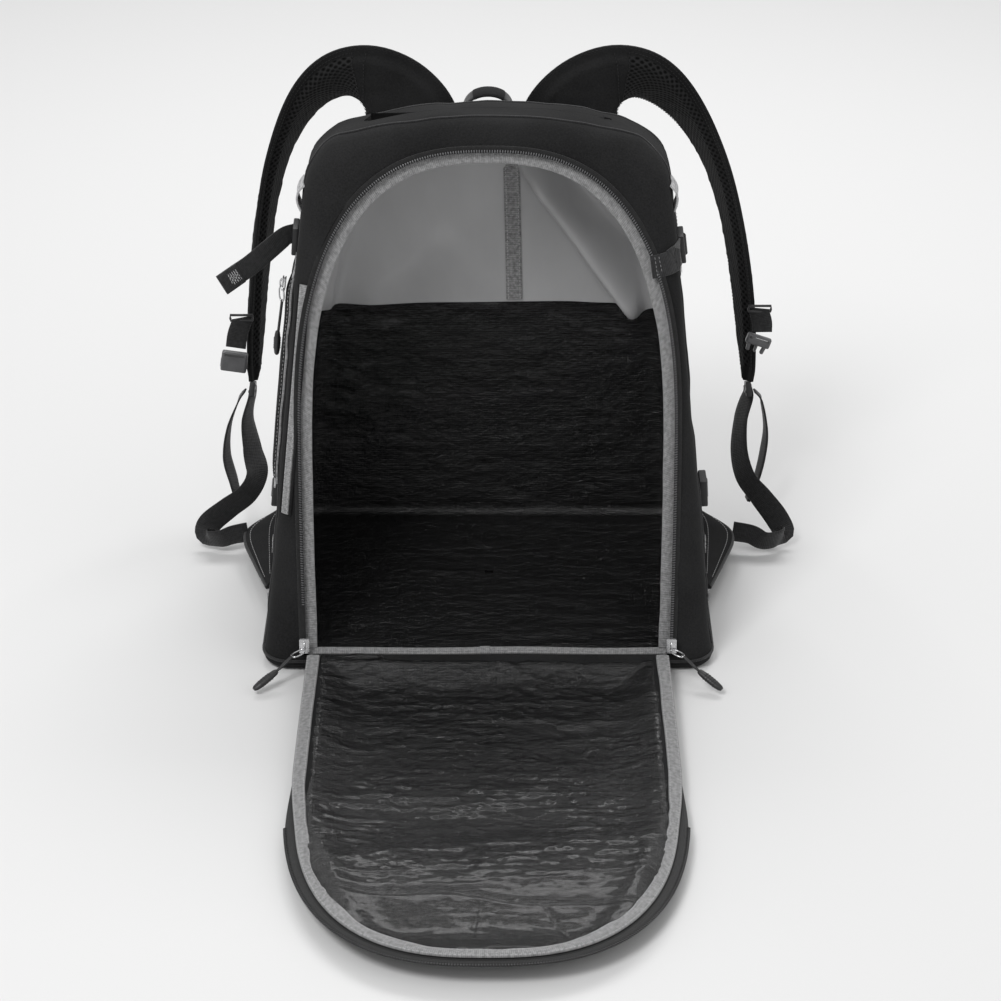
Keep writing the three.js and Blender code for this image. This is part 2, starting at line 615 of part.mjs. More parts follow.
// Straps that squeeze the sides together: the upper pair differs left and right as they lie.
function addCompression() {
  const upper = 366;
  const [y0, y1] = [6, 34];
  for (const [name, side] of SIDES) {
    const z = upper - (side > 0 ? 8 : 0);
    add('bag', `upper_buckle_${name}`, 'black_plastic', onSide(side, [[y0, y1, z - 12], [y0, y1, z + 12]], 0.5, 7));
    const rear = onSide(side, [[y1 + 0.4, backY(z) - 46, z - 10], [y1 + 0.4, backY(z) - 46, z + 10]], 0.5, 2.1);
    add('bag', `upper_webbing_${name}`, 'webbing', rear);
    const low = 104;
    add('bag', `lower_buckle_${name}`, 'black_plastic', onSide(side, [[2, 32, low - 13], [2, 32, low + 13]], 0.5, 9));
    const lowRear = onSide(side, [[32.4, backY(low) - 46, low - 10], [32.4, backY(low) - 46, low + 10]], 0.5, 2.1);
    add('bag', `lower_webbing_${name}`, 'webbing', lowRear);
  }
  const free = [
    [-189, 17, 366, 20, 6], [-201, 4, 358, 20, 4], [-216, -8, 350, 20, 2], [-236, -20, 340, 20, 0],
    [-246, -25, 334, 20, 0],
  ];
  add('loose_strap', 'loose_webbing_left', 'webbing', strap(free, -1, WEBBING_THICK, false));
  const frontRight = onSide(1, [[frontY(376) + 31, y0 - 0.4, 352], [frontY(396) + 31, y0 - 0.4, 372]], 0.5, 2.1);
  add('bag', 'front_webbing_right', 'webbing', frontRight);
}

function addTabs() {
  for (const [name, side] of SIDES) {
    const top = [[-6, 22, 400], [-2, 20, 414], [2, 18, 426]];
    add('bag', `top_tab_${name}`, 'light_tab', onSide(side, top, 0.5, 2.5));
    const base = [[-44, -16, 13], [-42, -18, 26]];
    add('bag', `base_tab_${name}`, 'light_tab', onSide(side, base, 0.5, 2.2));
  }
}

// The carrying loop between the shoulder straps' roots, and the cushions of the back.
function addBack() {
  const loop = [];
  const steps = 8;
  for (let i = 0; i <= steps; i++) {
    const angle = Math.PI * (1 - i / steps);
    loop.push([HAUL_HALF * Math.cos(angle), 124, HAUL_FOOT_Z + HAUL_RISE * Math.sin(angle) ** 0.8, 22, -90]);
  }
  add('haul', 'haul_loop', 'webbing', strap(loop, 1, 4, false));
  add('bag', 'back_pad_left', 'air_mesh', onBack(-130, -12, 130, 400, 14));
  add('bag', 'back_pad_right', 'air_mesh', onBack(12, 130, 130, 400, 14));
  add('bag', 'lumbar_pad', 'air_mesh', onBack(-130, 130, 30, 118, 14));
}

addShell();
addFlap();
addPocket();
addCompression();
addTabs();
addBack();
for (const [name, side] of SIDES) {
  addMainSlider(name, side);
  addShoulderStrap(name, side);
  addAnchorWing(name, side);
  addSternum(name, side);
}

export default pack;
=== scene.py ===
# Looks of the boot backpack: cloth, webbing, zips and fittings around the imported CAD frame.
# Shapes are drawn in millimetres in the frame's axes and scaled to metres when a mesh is made.
import math

import bmesh
import bpy
import numpy as np
from mathutils import Matrix, Vector
from mathutils.bvhtree import BVHTree


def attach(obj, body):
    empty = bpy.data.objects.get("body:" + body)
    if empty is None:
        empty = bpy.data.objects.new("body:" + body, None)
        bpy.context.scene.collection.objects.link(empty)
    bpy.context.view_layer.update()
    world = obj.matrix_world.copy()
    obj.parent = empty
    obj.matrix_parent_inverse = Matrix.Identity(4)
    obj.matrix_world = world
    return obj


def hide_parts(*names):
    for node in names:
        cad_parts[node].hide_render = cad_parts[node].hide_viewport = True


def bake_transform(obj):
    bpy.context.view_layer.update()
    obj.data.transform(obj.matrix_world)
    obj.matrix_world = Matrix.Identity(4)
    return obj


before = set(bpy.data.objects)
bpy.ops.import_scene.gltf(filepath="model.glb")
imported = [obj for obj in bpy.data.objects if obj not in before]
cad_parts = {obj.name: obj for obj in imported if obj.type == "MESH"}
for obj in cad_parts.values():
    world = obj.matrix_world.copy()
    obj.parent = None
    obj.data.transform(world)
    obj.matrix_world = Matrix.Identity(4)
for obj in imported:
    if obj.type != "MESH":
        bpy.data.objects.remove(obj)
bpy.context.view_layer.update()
MM = 0.001

# ---------------------------------------------------------------- driving sizes, as the frame has them
LEAN = math.radians(17)
HINGE_Y, HINGE_Z = -150.0, 18.0
OPENING_HALF, OPENING_FOOT, OPENING_LENGTH = 170.0, 168.0, 463.0
STRAIGHT_SHARE, ARCH_POWER, FRONT_BOW = 0.43, 2.6, 8.0
BASE_DEPTH, BASE_HALF, TAPER, BACK_LEAN = 300.0, 211.0, 0.1, 40.0
DOME_START, DOME_RADIUS = 452.0, 36.0
CROWN_DROP, CROWN_HALF, TOP_SLOPE = 22.0, 150.0, 0.15
FRONT_CORNER, BACK_CORNER, WALL = 26.0, 40.0, 6.0
LINING_SEAM_Z = 255.0
FRONT_SEAM_IN, BACK_SEAM_IN = 32.0, 30.0
UPPER_STRAP_Z, LOWER_STRAP_Z, WEBBING_WIDTH = 366, 104, 20
POCKET_ZIP_IN, POCKET_SLIDER_LIFT = 47, 10.6
CAMERA_LENS, CAMERA_DOWN, CAMERA_PLACE = 100.7, 28.5, (0.0116, -2.3631, 1.3826)
SIDES = (("left", -1), ("right", 1))


# ---------------------------------------------------------------- small maths
def ease(t):
    t = np.clip(t, 0, 1)
    return t * t * (3 - 2 * t)


def unit(v):
    v = np.asarray(v, float)
    return v / np.maximum(np.linalg.norm(v, axis=-1, keepdims=True), 1e-9)


def noise(points, scale, seed=0):
    """Smooth value noise in -1..1 at points (n, 3), with one size or three."""
    p = np.asarray(points, float) / np.asarray(scale, float) + 91.7 * (seed + 1)
    cell = np.floor(p).astype(np.int64)
    f = p - cell
    f = f * f * f * (f * (f * 6 - 15) + 10)
    total = np.zeros(len(p))
    for corner in range(8):
        step = np.array([corner & 1, corner >> 1 & 1, corner >> 2 & 1])
        c = cell + step
        h = (c[:, 0] * 73856093) ^ (c[:, 1] * 19349663) ^ (c[:, 2] * 83492791) ^ (seed * 2654435761)
        h = (h ^ (h >> 13)) * 1274126177
        value = ((h ^ (h >> 16)) & 0xFFFF) / 32767.5 - 1
        total += value * np.prod(np.where(step, f, 1 - f), axis=1)
    return total


def creases(points, scale, seed=0):
    """Ridged noise: long sharp folds, 0 in the hollows to 1 on the ridges."""
    warp = np.stack([noise(points, np.asarray(scale) * 1.6, seed + k) for k in (11, 12, 13)], axis=1)
    return (1 - np.abs(noise(np.asarray(points) + warp * np.asarray(scale) * 0.5, scale, seed))) ** 2


def smooth_route(rows, count):
    """A Catmull-Rom curve through rows of numbers, at even steps of its first three."""
    rows = np.asarray(rows, float)
    padded = np.vstack([2 * rows[0] - rows[1], rows, 2 * rows[-1] - rows[-2]])
    out = []
    for i in range(len(rows) - 1):
        a, b, c, d = padded[i:i + 4]
        for t in np.linspace(0, 1, 16, endpoint=False):
            out.append(0.5 * (2 * b + (c - a) * t + (2 * a - 5 * b + 4 * c - d) * t ** 2
                              + (3 * b - a - 3 * c + d) * t ** 3))
    out = np.array(out + [rows[-1]])
    along = travelled(out[:, :3])
    at = np.linspace(0, along[-1], count)
    return resample(at, along, out)


def travelled(points):
    """Distance from the first point to each one."""
    return np.concatenate([[0], np.cumsum(np.linalg.norm(np.diff(points, axis=0), axis=1))])


def resample(at, along, table):
    """Each column of a table, read at other distances."""
    return np.stack([np.interp(at, along, column) for column in table.T], axis=1)


def direction(points):
    return unit(np.gradient(points, axis=0))


def route_length(points):
    return float(np.linalg.norm(np.diff(np.asarray(points)[:, :3], axis=0), axis=1).sum())


# ---------------------------------------------------------------- the bag's own surfaces
def bow(s):
    return FRONT_BOW * np.sin(np.pi * np.clip(np.asarray(s, float) / OPENING_LENGTH, 0, 1))


def on_front(x, s, d):
    """x across, s up the leaning front from the hinge, d into the bag."""
    out = bow(s) - d
    y = HINGE_Y + s * math.sin(LEAN) - out * math.cos(LEAN)
    z = HINGE_Z + s * math.cos(LEAN) + out * math.sin(LEAN)
    return np.stack(np.broadcast_arrays(x, y, z), axis=-1)


def on_flap(x, s, d):
    """The same on the flap, folded down: s towards the viewer, d up."""
    return np.stack(np.broadcast_arrays(x, HINGE_Y - s, HINGE_Z - bow(s) + d), axis=-1)


def opening_half(share):
    share = np.asarray(share, float)
    foot = np.sin(np.clip(share / STRAIGHT_SHARE, 0, 1) * np.pi / 2)
    low = OPENING_FOOT + (OPENING_HALF - OPENING_FOOT) * foot
    t = np.clip((share - STRAIGHT_SHARE) / (1 - STRAIGHT_SHARE), 0, 1)
    return np.where(share < STRAIGHT_SHARE, low, OPENING_HALF * (1 - t ** ARCH_POWER) ** (1 / ARCH_POWER))


def opening_edge(start=0.012, step=2.5):
    """Even points (x, s) along the zip line, from its right foot over the arch to its left foot."""
    share = np.linspace(start, STRAIGHT_SHARE, 60, endpoint=False)
    right = [(float(opening_half(v)), v * OPENING_LENGTH) for v in share]
    for angle in np.linspace(0, np.pi / 2, 120):
        x = OPENING_HALF * max(math.cos(angle), 0) ** (2 / ARCH_POWER)
        v = STRAIGHT_SHARE + (1 - STRAIGHT_SHARE) * math.sin(angle) ** (2 / ARCH_POWER)
        right.append((x, v * OPENING_LENGTH))
    right[-1] = (0.0, OPENING_LENGTH)
    edge = np.array(right + [(-x, s) for x, s in right[-2::-1]])
    along = travelled(edge)
    at = np.linspace(0, along[-1], int(along[-1] / step))
    return resample(at, along, edge), at


def grown(edge, grow):
    """The zip line moved outwards, or inwards where grow is negative."""
    grow = np.asarray(grow, float)
    return edge[:, 0] * (OPENING_HALF + grow) / OPENING_HALF, edge[:, 1] * (OPENING_LENGTH
            + grow) / OPENING_LENGTH


def front_y(z):
    up = np.maximum(np.asarray(z, float) - HINGE_Z, 0)
    return HINGE_Y + up * math.tan(LEAN) - bow(up / math.cos(LEAN)) / math.cos(LEAN)


def back_y(z):
    return BASE_DEPTH / 2 - BACK_LEAN * (np.maximum(z, 0) / DOME_START) ** 1.2


def half_width(z):
    return BASE_HALF - TAPER * z


def body_ring(z, inset, splits=(26, 28, 30, 28), arc=9):
    """One level of the body: a rectangle with rounded corners, anticlockwise from the front right."""
    half, front, back = half_width(z) - inset, front_y(z) + inset, back_y(z) - inset
    rf, rb = max(FRONT_CORNER - inset, 5), max(BACK_CORNER - inset, 5)
    corners = [(half - rf, front + rf, rf, -90), (half - rb, back - rb, rb, 0),
               (-half + rb, back - rb, rb, 90), (-half + rf, front + rf, rf, 180)]
    flat = []
    for c, (cx, cy, r, start) in enumerate(corners):
        for a in np.radians(np.linspace(start, start + 90, arc)):
            flat.append((cx + r * math.cos(a), cy + r * math.sin(a)))
        nx, ny, nr, next_start = corners[(c + 1) % 4]
        b = (nx + nr * math.cos(math.radians(next_start)), ny + nr * math.sin(math.radians(next_start)))
        a = flat[-1]
        n = splits[(c + 1) % 4]
        flat += [(a[0] + (b[0] - a[0]) * i / n, a[1] + (b[1] - a[1]) * i / n) for i in range(1, n)]
    flat = np.array(flat)
    near = ease((z - 400) / 88)
    drop = CROWN_DROP * (flat[:, 0] / CROWN_HALF) ** 2 + TOP_SLOPE * np.maximum(flat[:, 1] - 10, 0)
    return np.column_stack([flat, z - near * drop])


def body_rows(shrink, low=None, high=None, step=5.0):
    """Levels (z, inset) of the body's form shrunk by a wall, between two heights where given."""
    floor = shrink + 2 if shrink > 0 else 0
    rows = [(floor + 9 * (1 - math.cos(a)), shrink + 9 * (1 - math.sin(a)))
            for a in np.linspace(0, np.pi / 2, 6)]
    rows += [(z, shrink) for z in np.arange(floor + 15, DOME_START - 2, step)]
    radius = DOME_RADIUS - shrink
    for a in np.radians(np.linspace(0, 90, 13)):
        rows.append((DOME_START + radius * math.sin(a), shrink + radius * (1 - math.cos(a))))
    rows += [(DOME_START + radius, DOME_RADIUS + extra) for extra in (6, 13, 20)]
    if low is not None:
        rows = [(low, shrink)] + [r for r in rows if r[0] > low + 1]
    if high is not None:
        rows = [r for r in rows if r[0] < high - 1] + [(high, shrink)]
    return rows


# ---------------------------------------------------------------- meshes
def make_object(name, vertices, faces, uvs=None, angle=40):
    """A mesh object from points in millimetres; uvs are one pair for each corner of each face."""
    mesh = bpy.data.meshes.new(name)
    mesh.from_pydata((np.asarray(vertices, float) * MM).tolist(), [], [list(map(int, f)) for f in faces])
    if uvs is not None:
        layer = mesh.uv_layers.new(name="UVMap")
        layer.data.foreach_set("uv", np.asarray(uvs, np.float32).ravel())
    mesh.validate()
    mesh.polygons.foreach_set("use_smooth", [True] * len(mesh.polygons))
    mesh.set_sharp_from_angle(angle=math.radians(angle))
    obj = bpy.data.objects.new(name, mesh)
    bpy.context.scene.collection.objects.link(obj)
    return obj


def smooth_faces(obj):
    obj.data.polygons.foreach_set("use_smooth", [True] * len(obj.data.polygons))


def face_out(obj):
    """Turns all faces outwards."""
    bm = bmesh.new()
    bm.from_mesh(obj.data)
    bmesh.ops.recalc_face_normals(bm, faces=bm.faces)
    bm.to_mesh(obj.data)
    bm.free()
    return obj


def swept(name, rings, uv_along=None, uv_round=None, closed=False, angle=40):
    """A solid through rings of points (n, m, 3), with its ends capped unless it closes on itself."""
    rings = np.asarray(rings, float)
    n, m = rings.shape[:2]
    if uv_along is None:
        centre = rings.mean(axis=1)
        uv_along = travelled(centre)
    if uv_round is None:
        step = np.linalg.norm(np.roll(rings[n // 2], -1, axis=0) - rings[n // 2], axis=1)
        uv_round = np.concatenate([[0], np.cumsum(step)])
    faces, uvs = [], []
    for r in range(n if closed else n - 1):
        q = (r + 1) % n
        va, vb = uv_along[r], uv_along[q] if q else uv_along[-1] + 2
        for i in range(m):
            j = (i + 1) % m
            faces.append((r * m + i, r * m + j, q * m + j, q * m + i))
            uvs += [(va, uv_round[i]), (va, uv_round[i + 1]), (vb, uv_round[i + 1]), (vb, uv_round[i])]
    if not closed:
        faces.append(tuple(range(m - 1, -1, -1)))
        faces.append(tuple(range((n - 1) * m, n * m)))
        uvs += [(uv_along[0], uv_round[i]) for i in range(m - 1, -1, -1)]
        uvs += [(uv_along[-1], uv_round[i]) for i in range(m)]
    return face_out(make_object(name, rings.reshape(-1, 3), faces, np.array(uvs) * MM, angle))


def surface_normals(grid, wrap=False):
    if wrap:
        across = np.roll(grid, -1, axis=1) - np.roll(grid, 1, axis=1)
    else:
        across = np.gradient(grid, axis=1)
    return unit(np.cross(across, np.gradient(grid, axis=0)))


def sheet_solid(name, grid, thick, wrap=False, uv=None, angle=60):
    """A cloth of that thickness whose outer face is the grid (rows, columns, 3)."""
    rows, cols = grid.shape[:2]
    under = grid - surface_normals(grid, wrap) * thick
    vertices = np.concatenate([grid.reshape(-1, 3), under.reshape(-1, 3)])
    half = rows * cols
    if uv is None:
        u = np.concatenate([np.zeros((rows, 1)),
                            np.cumsum(np.linalg.norm(np.diff(grid, axis=1), axis=2), axis=1)], axis=1)
        v = np.concatenate([np.zeros((1, cols)),
                            np.cumsum(np.linalg.norm(np.diff(grid, axis=0), axis=2), axis=0)], axis=0)
        uv = np.stack([np.repeat(u[rows // 2][None], rows, 0),
                       np.repeat(v[:, cols // 2][:, None], cols, 1)], axis=-1)
    uv = uv.reshape(-1, 2)
    faces, uvs = [], []

    def quad(a, b, c, d):
        faces.append((a, b, c, d))
        uvs.extend(uv[k % half] for k in (a, b, c, d))

    columns = range(cols) if wrap else range(cols - 1)
    for r in range(rows - 1):
        for c in columns:
            e = (c + 1) % cols
            a, b, d, f = r * cols + c, r * cols + e, (r + 1) * cols + e, (r + 1) * cols + c
            quad(a, b, d, f)
            quad(half + f, half + d, half + b, half + a)
    for r in (0, rows - 1):
        for c in columns:
            a, b = r * cols + c, r * cols + (c + 1) % cols
            quad(*((half + a, half + b, b, a) if r == 0 else (a, b, half + b, half + a)))
    if not wrap:
        for r in range(rows - 1):
            for c in (0, cols - 1):
                a, b = r * cols + c, (r + 1) * cols + c
                quad(*((a, b, half + b, half + a) if c == 0 else (half + a, half + b, b, a)))
    return face_out(make_object(name, vertices, faces, np.array(uvs) * MM, angle))


def band(name, centre, wide, up, width, thick, bulge=0.0, angle=50):
    """A flat band along points, as wide as width (a number or one each), with soft edges."""
    centre, wide, up = np.asarray(centre, float), unit(wide), unit(up)
    width = np.broadcast_to(np.asarray(width, float), len(centre))[:, None]
    profile = [(-1, -0.3), (-1, 0.3), (-0.94, 1), (-0.5, 1 + bulge * 0.7), (0, 1 + bulge),
               (0.5, 1 + bulge * 0.7),
               (0.94, 1), (1, 0.3), (1, -0.3), (0.94, -1), (0, -1), (-0.94, -1)]
    rings = np.stack([centre + wide * width * a / 2 + up * thick * b / 2 for a, b in profile], axis=1)
    step = np.abs(np.diff([p[0] for p in profile] + [profile[0][0]])) * float(width.mean()) / 2
    return swept(name, rings, uv_round=np.concatenate([[0], np.cumsum(step)]), angle=angle)


def tube(name, points, radius, sides=8, closed=False):
    """A round cord along points."""
    p = np.asarray(points, float)
    along = unit(np.roll(p, -1, axis=0) - np.roll(p, 1, axis=0)) if closed else direction(p)
    side = np.cross(along[0], [0.31, 0.22, 0.92])
    frames = []
    for t in along:
        side = unit(side - t * np.dot(side, t))
        frames.append((side, np.cross(t, side)))
    turns = np.linspace(0, 2 * np.pi, sides, endpoint=False)
    radius = np.broadcast_to(np.asarray(radius, float), len(p))
    rings = [[q + r * (math.cos(a) * u + math.sin(a) * v) for a in turns] for q, r,
             (u, v) in zip(p, radius, frames)]
    return swept(name, rings, closed=closed, angle=80)


def block(name, centre, axes, size, bevel=1.0, segments=3, cuts=()):
    """A bevelled block with optional slots: cuts are (centre, size) in the block's own axes."""
    bm = bmesh.new()
    bmesh.ops.create_cube(bm, size=1)
    for v in bm.verts:
        v.co = Vector([v.co[k] * size[k] for k in range(3)])
    bmesh.ops.bevel(bm, geom=bm.edges[:], offset=bevel, segments=segments, profile=0.6, affect="EDGES")
    mesh = bpy.data.meshes.new(name)
    bm.to_mesh(mesh)
    bm.free()
    obj = bpy.data.objects.new(name, mesh)
    bpy.context.scene.collection.objects.link(obj)
    for at, extent in cuts:
        cutter = block(name + "_cutter", (0, 0, 0), np.eye(3), extent, bevel=min(extent) * 0.2, segments=2)
        cutter.data.transform(Matrix.Translation(at) @ Matrix.Scale(1 / MM, 4))
        cut(obj, cutter)
    obj.data.transform(placement(centre, axes))
    smooth_faces(obj)
    obj.data.set_sharp_from_angle(angle=math.radians(35))
    return obj


def placement(centre, axes):
    """The matrix that puts a block's own axes and origin there, in metres."""
    m = Matrix.Identity(4)
    for k in range(3):
        for i in range(3):
            m[i][k] = float(axes[k][i]) * MM
        m[k][3] = centre[k] * MM
    return m


def cut(obj, cutter):
    """Takes one closed mesh out of another; the cutter is removed."""
    modifier = obj.modifiers.new("cut", "BOOLEAN")
    modifier.operation, modifier.object, modifier.solver = "DIFFERENCE", cutter, "MANIFOLD"
    apply_modifiers(obj)
    bpy.data.objects.remove(cutter)
    return obj


def apply_modifiers(obj):
    graph = bpy.context.evaluated_depsgraph_get()
    mesh = bpy.data.meshes.new_from_object(obj.evaluated_get(graph))
    obj.modifiers.clear()
    old, obj.data = obj.data, mesh
    bpy.data.meshes.remove(old)


def joined(name, parts):
    """Several objects made into one."""
    bpy.ops.object.select_all(action="DESELECT")
    for part in parts:
        part.select_set(True)
    bpy.context.view_layer.objects.active = parts[0]
    bpy.ops.object.join()
    parts[0].name = name
    return parts[0]


# ---------------------------------------------------------------- materials
def new_material(name, color, roughness, **inputs):
    material = bpy.data.materials.new(name)
    material.use_nodes = True
    shader = material.node_tree.nodes["Principled BSDF"]
    shader.inputs["Base Color"].default_value = (*color, 1)
    shader.inputs["Roughness"].default_value = roughness
    for key, value in inputs.items():
        shader.inputs[key.replace("_", " ")].default_value = value
    return material


def add_node(material, kind, inputs=None, **settings):
    node = material.node_tree.nodes.new("ShaderNode" + kind)
    for key, value in settings.items():
        setattr(node, key, value)
    for key, value in (inputs or {}).items():
        node.inputs[key].default_value = value
    return node


def link(material, a, output, b, target):
    material.node_tree.links.new(a.outputs[output], b.inputs[target])


def coordinates(material, space, scale, turn=0.0):
    """Texture coordinates: UV or Object, scaled per axis and turned about Z."""
    source = add_node(material, "TexCoord")
    mapping = add_node(material, "Mapping")
    mapping.inputs["Scale"].default_value = scale
    mapping.inputs["Rotation"].default_value = (0, 0, turn)
    link(material, source, space, mapping, "Vector")
    return mapping


def shade_by(material, texture, output, dark, light, low=0.3, high=0.7, target="Base Color"):
    """Colours a socket from a texture between two colours or two grey levels."""
    ramp = add_node(material, "ValToRGB")
    ramp.color_ramp.elements[0].position, ramp.color_ramp.elements[1].position = low, high
    as_color = (lambda c: (*c, 1)) if hasattr(dark, "__len__") else (lambda c: (c, c, c, 1))
    ramp.color_ramp.elements[0].color, ramp.color_ramp.elements[1].color = as_color(dark), as_color(light)
    link(material, texture, output, ramp, "Fac")
    link(material, ramp, "Color", material.node_tree.nodes["Principled BSDF"], target)
    return ramp


def bump_by(material, layers):
    """Chains bumps: each layer is (texture node, output, strength, distance in metres)."""
    before = None
    for texture, output, strength, distance in layers:
        bump = add_node(material, "Bump", {"Strength": strength, "Distance": distance})
        link(material, texture, output, bump, "Height")
        if before:
            link(material, before, "Normal", bump, "Normal")
        before = bump
    link(material, before, "Normal", material.node_tree.nodes["Principled BSDF"], "Normal")


def weave(material, space, pitch, turn=0.0):
    """Height of a plain weave: two crossed sets of threads."""
    at = coordinates(material, space, (1, 1, 1), turn)
    waves = []
    for axis in ("X", "Y"):
        wave = add_node(material, "TexWave", {"Scale": 0.31 / pitch, "Distortion": 0.0},
                        bands_direction=axis)
        link(material, at, "Vector", wave, "Vector")
        waves.append(wave)
    both = add_node(material, "Math", operation="MULTIPLY")
    link(material, waves[0], "Fac", both, 0)
    link(material, waves[1], "Fac", both, 1)
    return both


def cloth_material(name, dark, light, roughness, pitch=0.0011, sheen=0.25):
    """Woven pack cloth: fine threads, slubs and slow tonal drift."""
    m = new_material(name, light, roughness, Sheen_Weight=sheen, Sheen_Roughness=0.5,
                     Specular_IOR_Level=0.12)
    cloud = add_node(m, "TexNoise", {"Scale": 9.0, "Detail": 5.0})
    slub = add_node(m, "TexNoise", {"Scale": 700.0, "Detail": 3.0})
    for texture in (cloud, slub):
        link(m, coordinates(m, "Object", (1, 1, 1)), "Vector", texture, "Vector")
    blend = add_node(m, "Math", {1: 0.45}, operation="MULTIPLY_ADD")
    link(m, slub, "Fac", blend, 0)
    scaled = add_node(m, "Math", {1: 0.55}, operation="MULTIPLY")
    link(m, cloud, "Fac", scaled, 0)
    link(m, scaled, "Value", blend, 2)
    shade_by(m, blend, "Value", dark, light, 0.38, 0.64)
    threads = add_node(m, "TexVoronoi", {"Scale": 1 / pitch, "Randomness": 0.35})
    link(m, coordinates(m, "Object", (1, 1, 1)), "Vector", threads, "Vector")
    bump_by(m, [(cloud, "Fac", 0.25, 0.002), (threads, "Distance", 0.35, 0.0004),
                (slub, "Fac", 0.2, 0.0002)])
    return m


def tape_material(name, dark, light, roughness, rib=0.0012, sheen=0.2):
    """Grosgrain and webbing: ribs across the tape, by UV, with a herringbone of colour."""
    m = new_material(name, light, roughness, Sheen_Weight=sheen, Specular_IOR_Level=0.3)
    at = coordinates(m, "UV", (1, 1, 1))
    ribs = add_node(m, "TexWave", {"Scale": 0.31 / rib, "Distortion": 0.6, "Detail": 1.0},
                    bands_direction="X")
    link(m, at, "Vector", ribs, "Vector")
    cross = add_node(m, "TexWave", {"Scale": 0.31 / (rib * 1.5), "Distortion": 0.4}, bands_direction="Y")
    link(m, at, "Vector", cross, "Vector")
    slub = add_node(m, "TexNoise", {"Scale": 300.0, "Detail": 3.0})
    link(m, at, "Vector", slub, "Vector")
    soft = add_node(m, "Math", {1: 0.3, 2: 0.7}, operation="MULTIPLY_ADD")
    link(m, ribs, "Fac", soft, 0)
    mixed = add_node(m, "Math", operation="MULTIPLY")
    link(m, soft, "Value", mixed, 0)
    link(m, slub, "Fac", mixed, 1)
    shade_by(m, mixed, "Value", dark, light, 0.25, 0.62)
    bump_by(m, [(ribs, "Fac", 0.5, 0.0005), (cross, "Fac", 0.25, 0.0003), (slub, "Fac", 0.2, 0.0003)])
    return m


def mesh_material():
    """Spacer mesh: rows of small hexagonal holes over foam, with painted shade making the holes near black.
    """
    m = new_material("air_mesh", (0.02, 0.02, 0.021), 0.9, Sheen_Weight=0.03, Specular_IOR_Level=0.12)
    at = coordinates(m, "UV", (1.0, 0.72, 1), math.radians(45))
    holes = add_node(m, "TexVoronoi", {"Scale": 290.0, "Randomness": 0.0})
    link(m, at, "Vector", holes, "Vector")
    # Hole centres near black: painted shade inside the holes, darker than the mesh around them.
    shade_by(m, holes, "Distance", (0.001, 0.001, 0.001), (0.022, 0.022, 0.0225), 0.2, 0.5)
    fuzz = add_node(m, "TexNoise", {"Scale": 1200.0, "Detail": 2.0})
    link(m, coordinates(m, "Object", (1, 1, 1)), "Vector", fuzz, "Vector")
    bump_by(m, [(holes, "Distance", 1.0, 0.0016), (fuzz, "Fac", 0.3, 0.0003)])
    return m


def tarpaulin_material():
    """Laminated woven tape: a square tape grid under a glossy film full of tiny creases."""
    m = new_material("tarpaulin", (0.004, 0.004, 0.0042), 0.2, Specular_IOR_Level=0.6, Coat_Weight=0.2,
                     Coat_Roughness=0.12)
    grid = weave(m, "UV", 0.0026)
    micro = add_node(m, "TexNoise", {"Scale": 230.0, "Detail": 5.0, "Roughness": 0.65, "Distortion": 0.6})
    link(m, coordinates(m, "UV", (0.55, 1, 1)), "Vector", micro, "Vector")
    patch = add_node(m, "TexNoise", {"Scale": 14.0, "Detail": 4.0})
    link(m, coordinates(m, "UV", (0.7, 1, 1)), "Vector", patch, "Vector")
    shade_by(m, patch, "Fac", 0.1, 0.25, 0.35, 0.7, target="Roughness")
    bump_by(m, [(micro, "Fac", 0.9, 0.003), (grid, "Value", 0.5, 0.0006)])
    return m


def lining_material():
    """Coated lining cloth: satin, with fine threads and soft pressing marks."""
    m = new_material("grey_lining", (0.4, 0.4, 0.403), 0.4, Sheen_Weight=0.15, Specular_IOR_Level=0.5)
    cloud = add_node(m, "TexNoise", {"Scale": 16.0, "Detail": 6.0})
    link(m, coordinates(m, "Object", (1, 1, 0.5)), "Vector", cloud, "Vector")
    shade_by(m, cloud, "Fac", (0.46, 0.46, 0.465), (0.54, 0.54, 0.545), 0.3, 0.7)
    threads = weave(m, "UV", 0.0009)
    fine = add_node(m, "TexNoise", {"Scale": 600.0, "Detail": 3.0})
    link(m, coordinates(m, "Object", (1, 1, 1)), "Vector", fine, "Vector")
    bump_by(m, [(cloud, "Fac", 0.2, 0.004), (fine, "Fac", 0.15, 0.0002), (threads, "Value", 0.2, 0.0002)])
    return m


def moulded_material(name, dark, light, roughness, metallic=0.0):
    """Moulded or cast parts: faint flow marks and handling wear."""
    m = new_material(name, light, roughness, Metallic=metallic)
    flow = add_node(m, "TexNoise", {"Scale": 55.0, "Detail": 4.0})
    grain = add_node(m, "TexNoise", {"Scale": 900.0, "Detail": 2.0})
    for texture in (flow, grain):
        link(m, coordinates(m, "Object", (1, 1, 1)), "Vector", texture, "Vector")
    shade_by(m, flow, "Fac", dark, light, 0.3, 0.7)
    shade_by(m, grain, "Fac", max(roughness - 0.08, 0.05), roughness + 0.1, 0.3, 0.7, target="Roughness")
    bump_by(m, [(grain, "Fac", 0.12, 0.0002)])
    return m


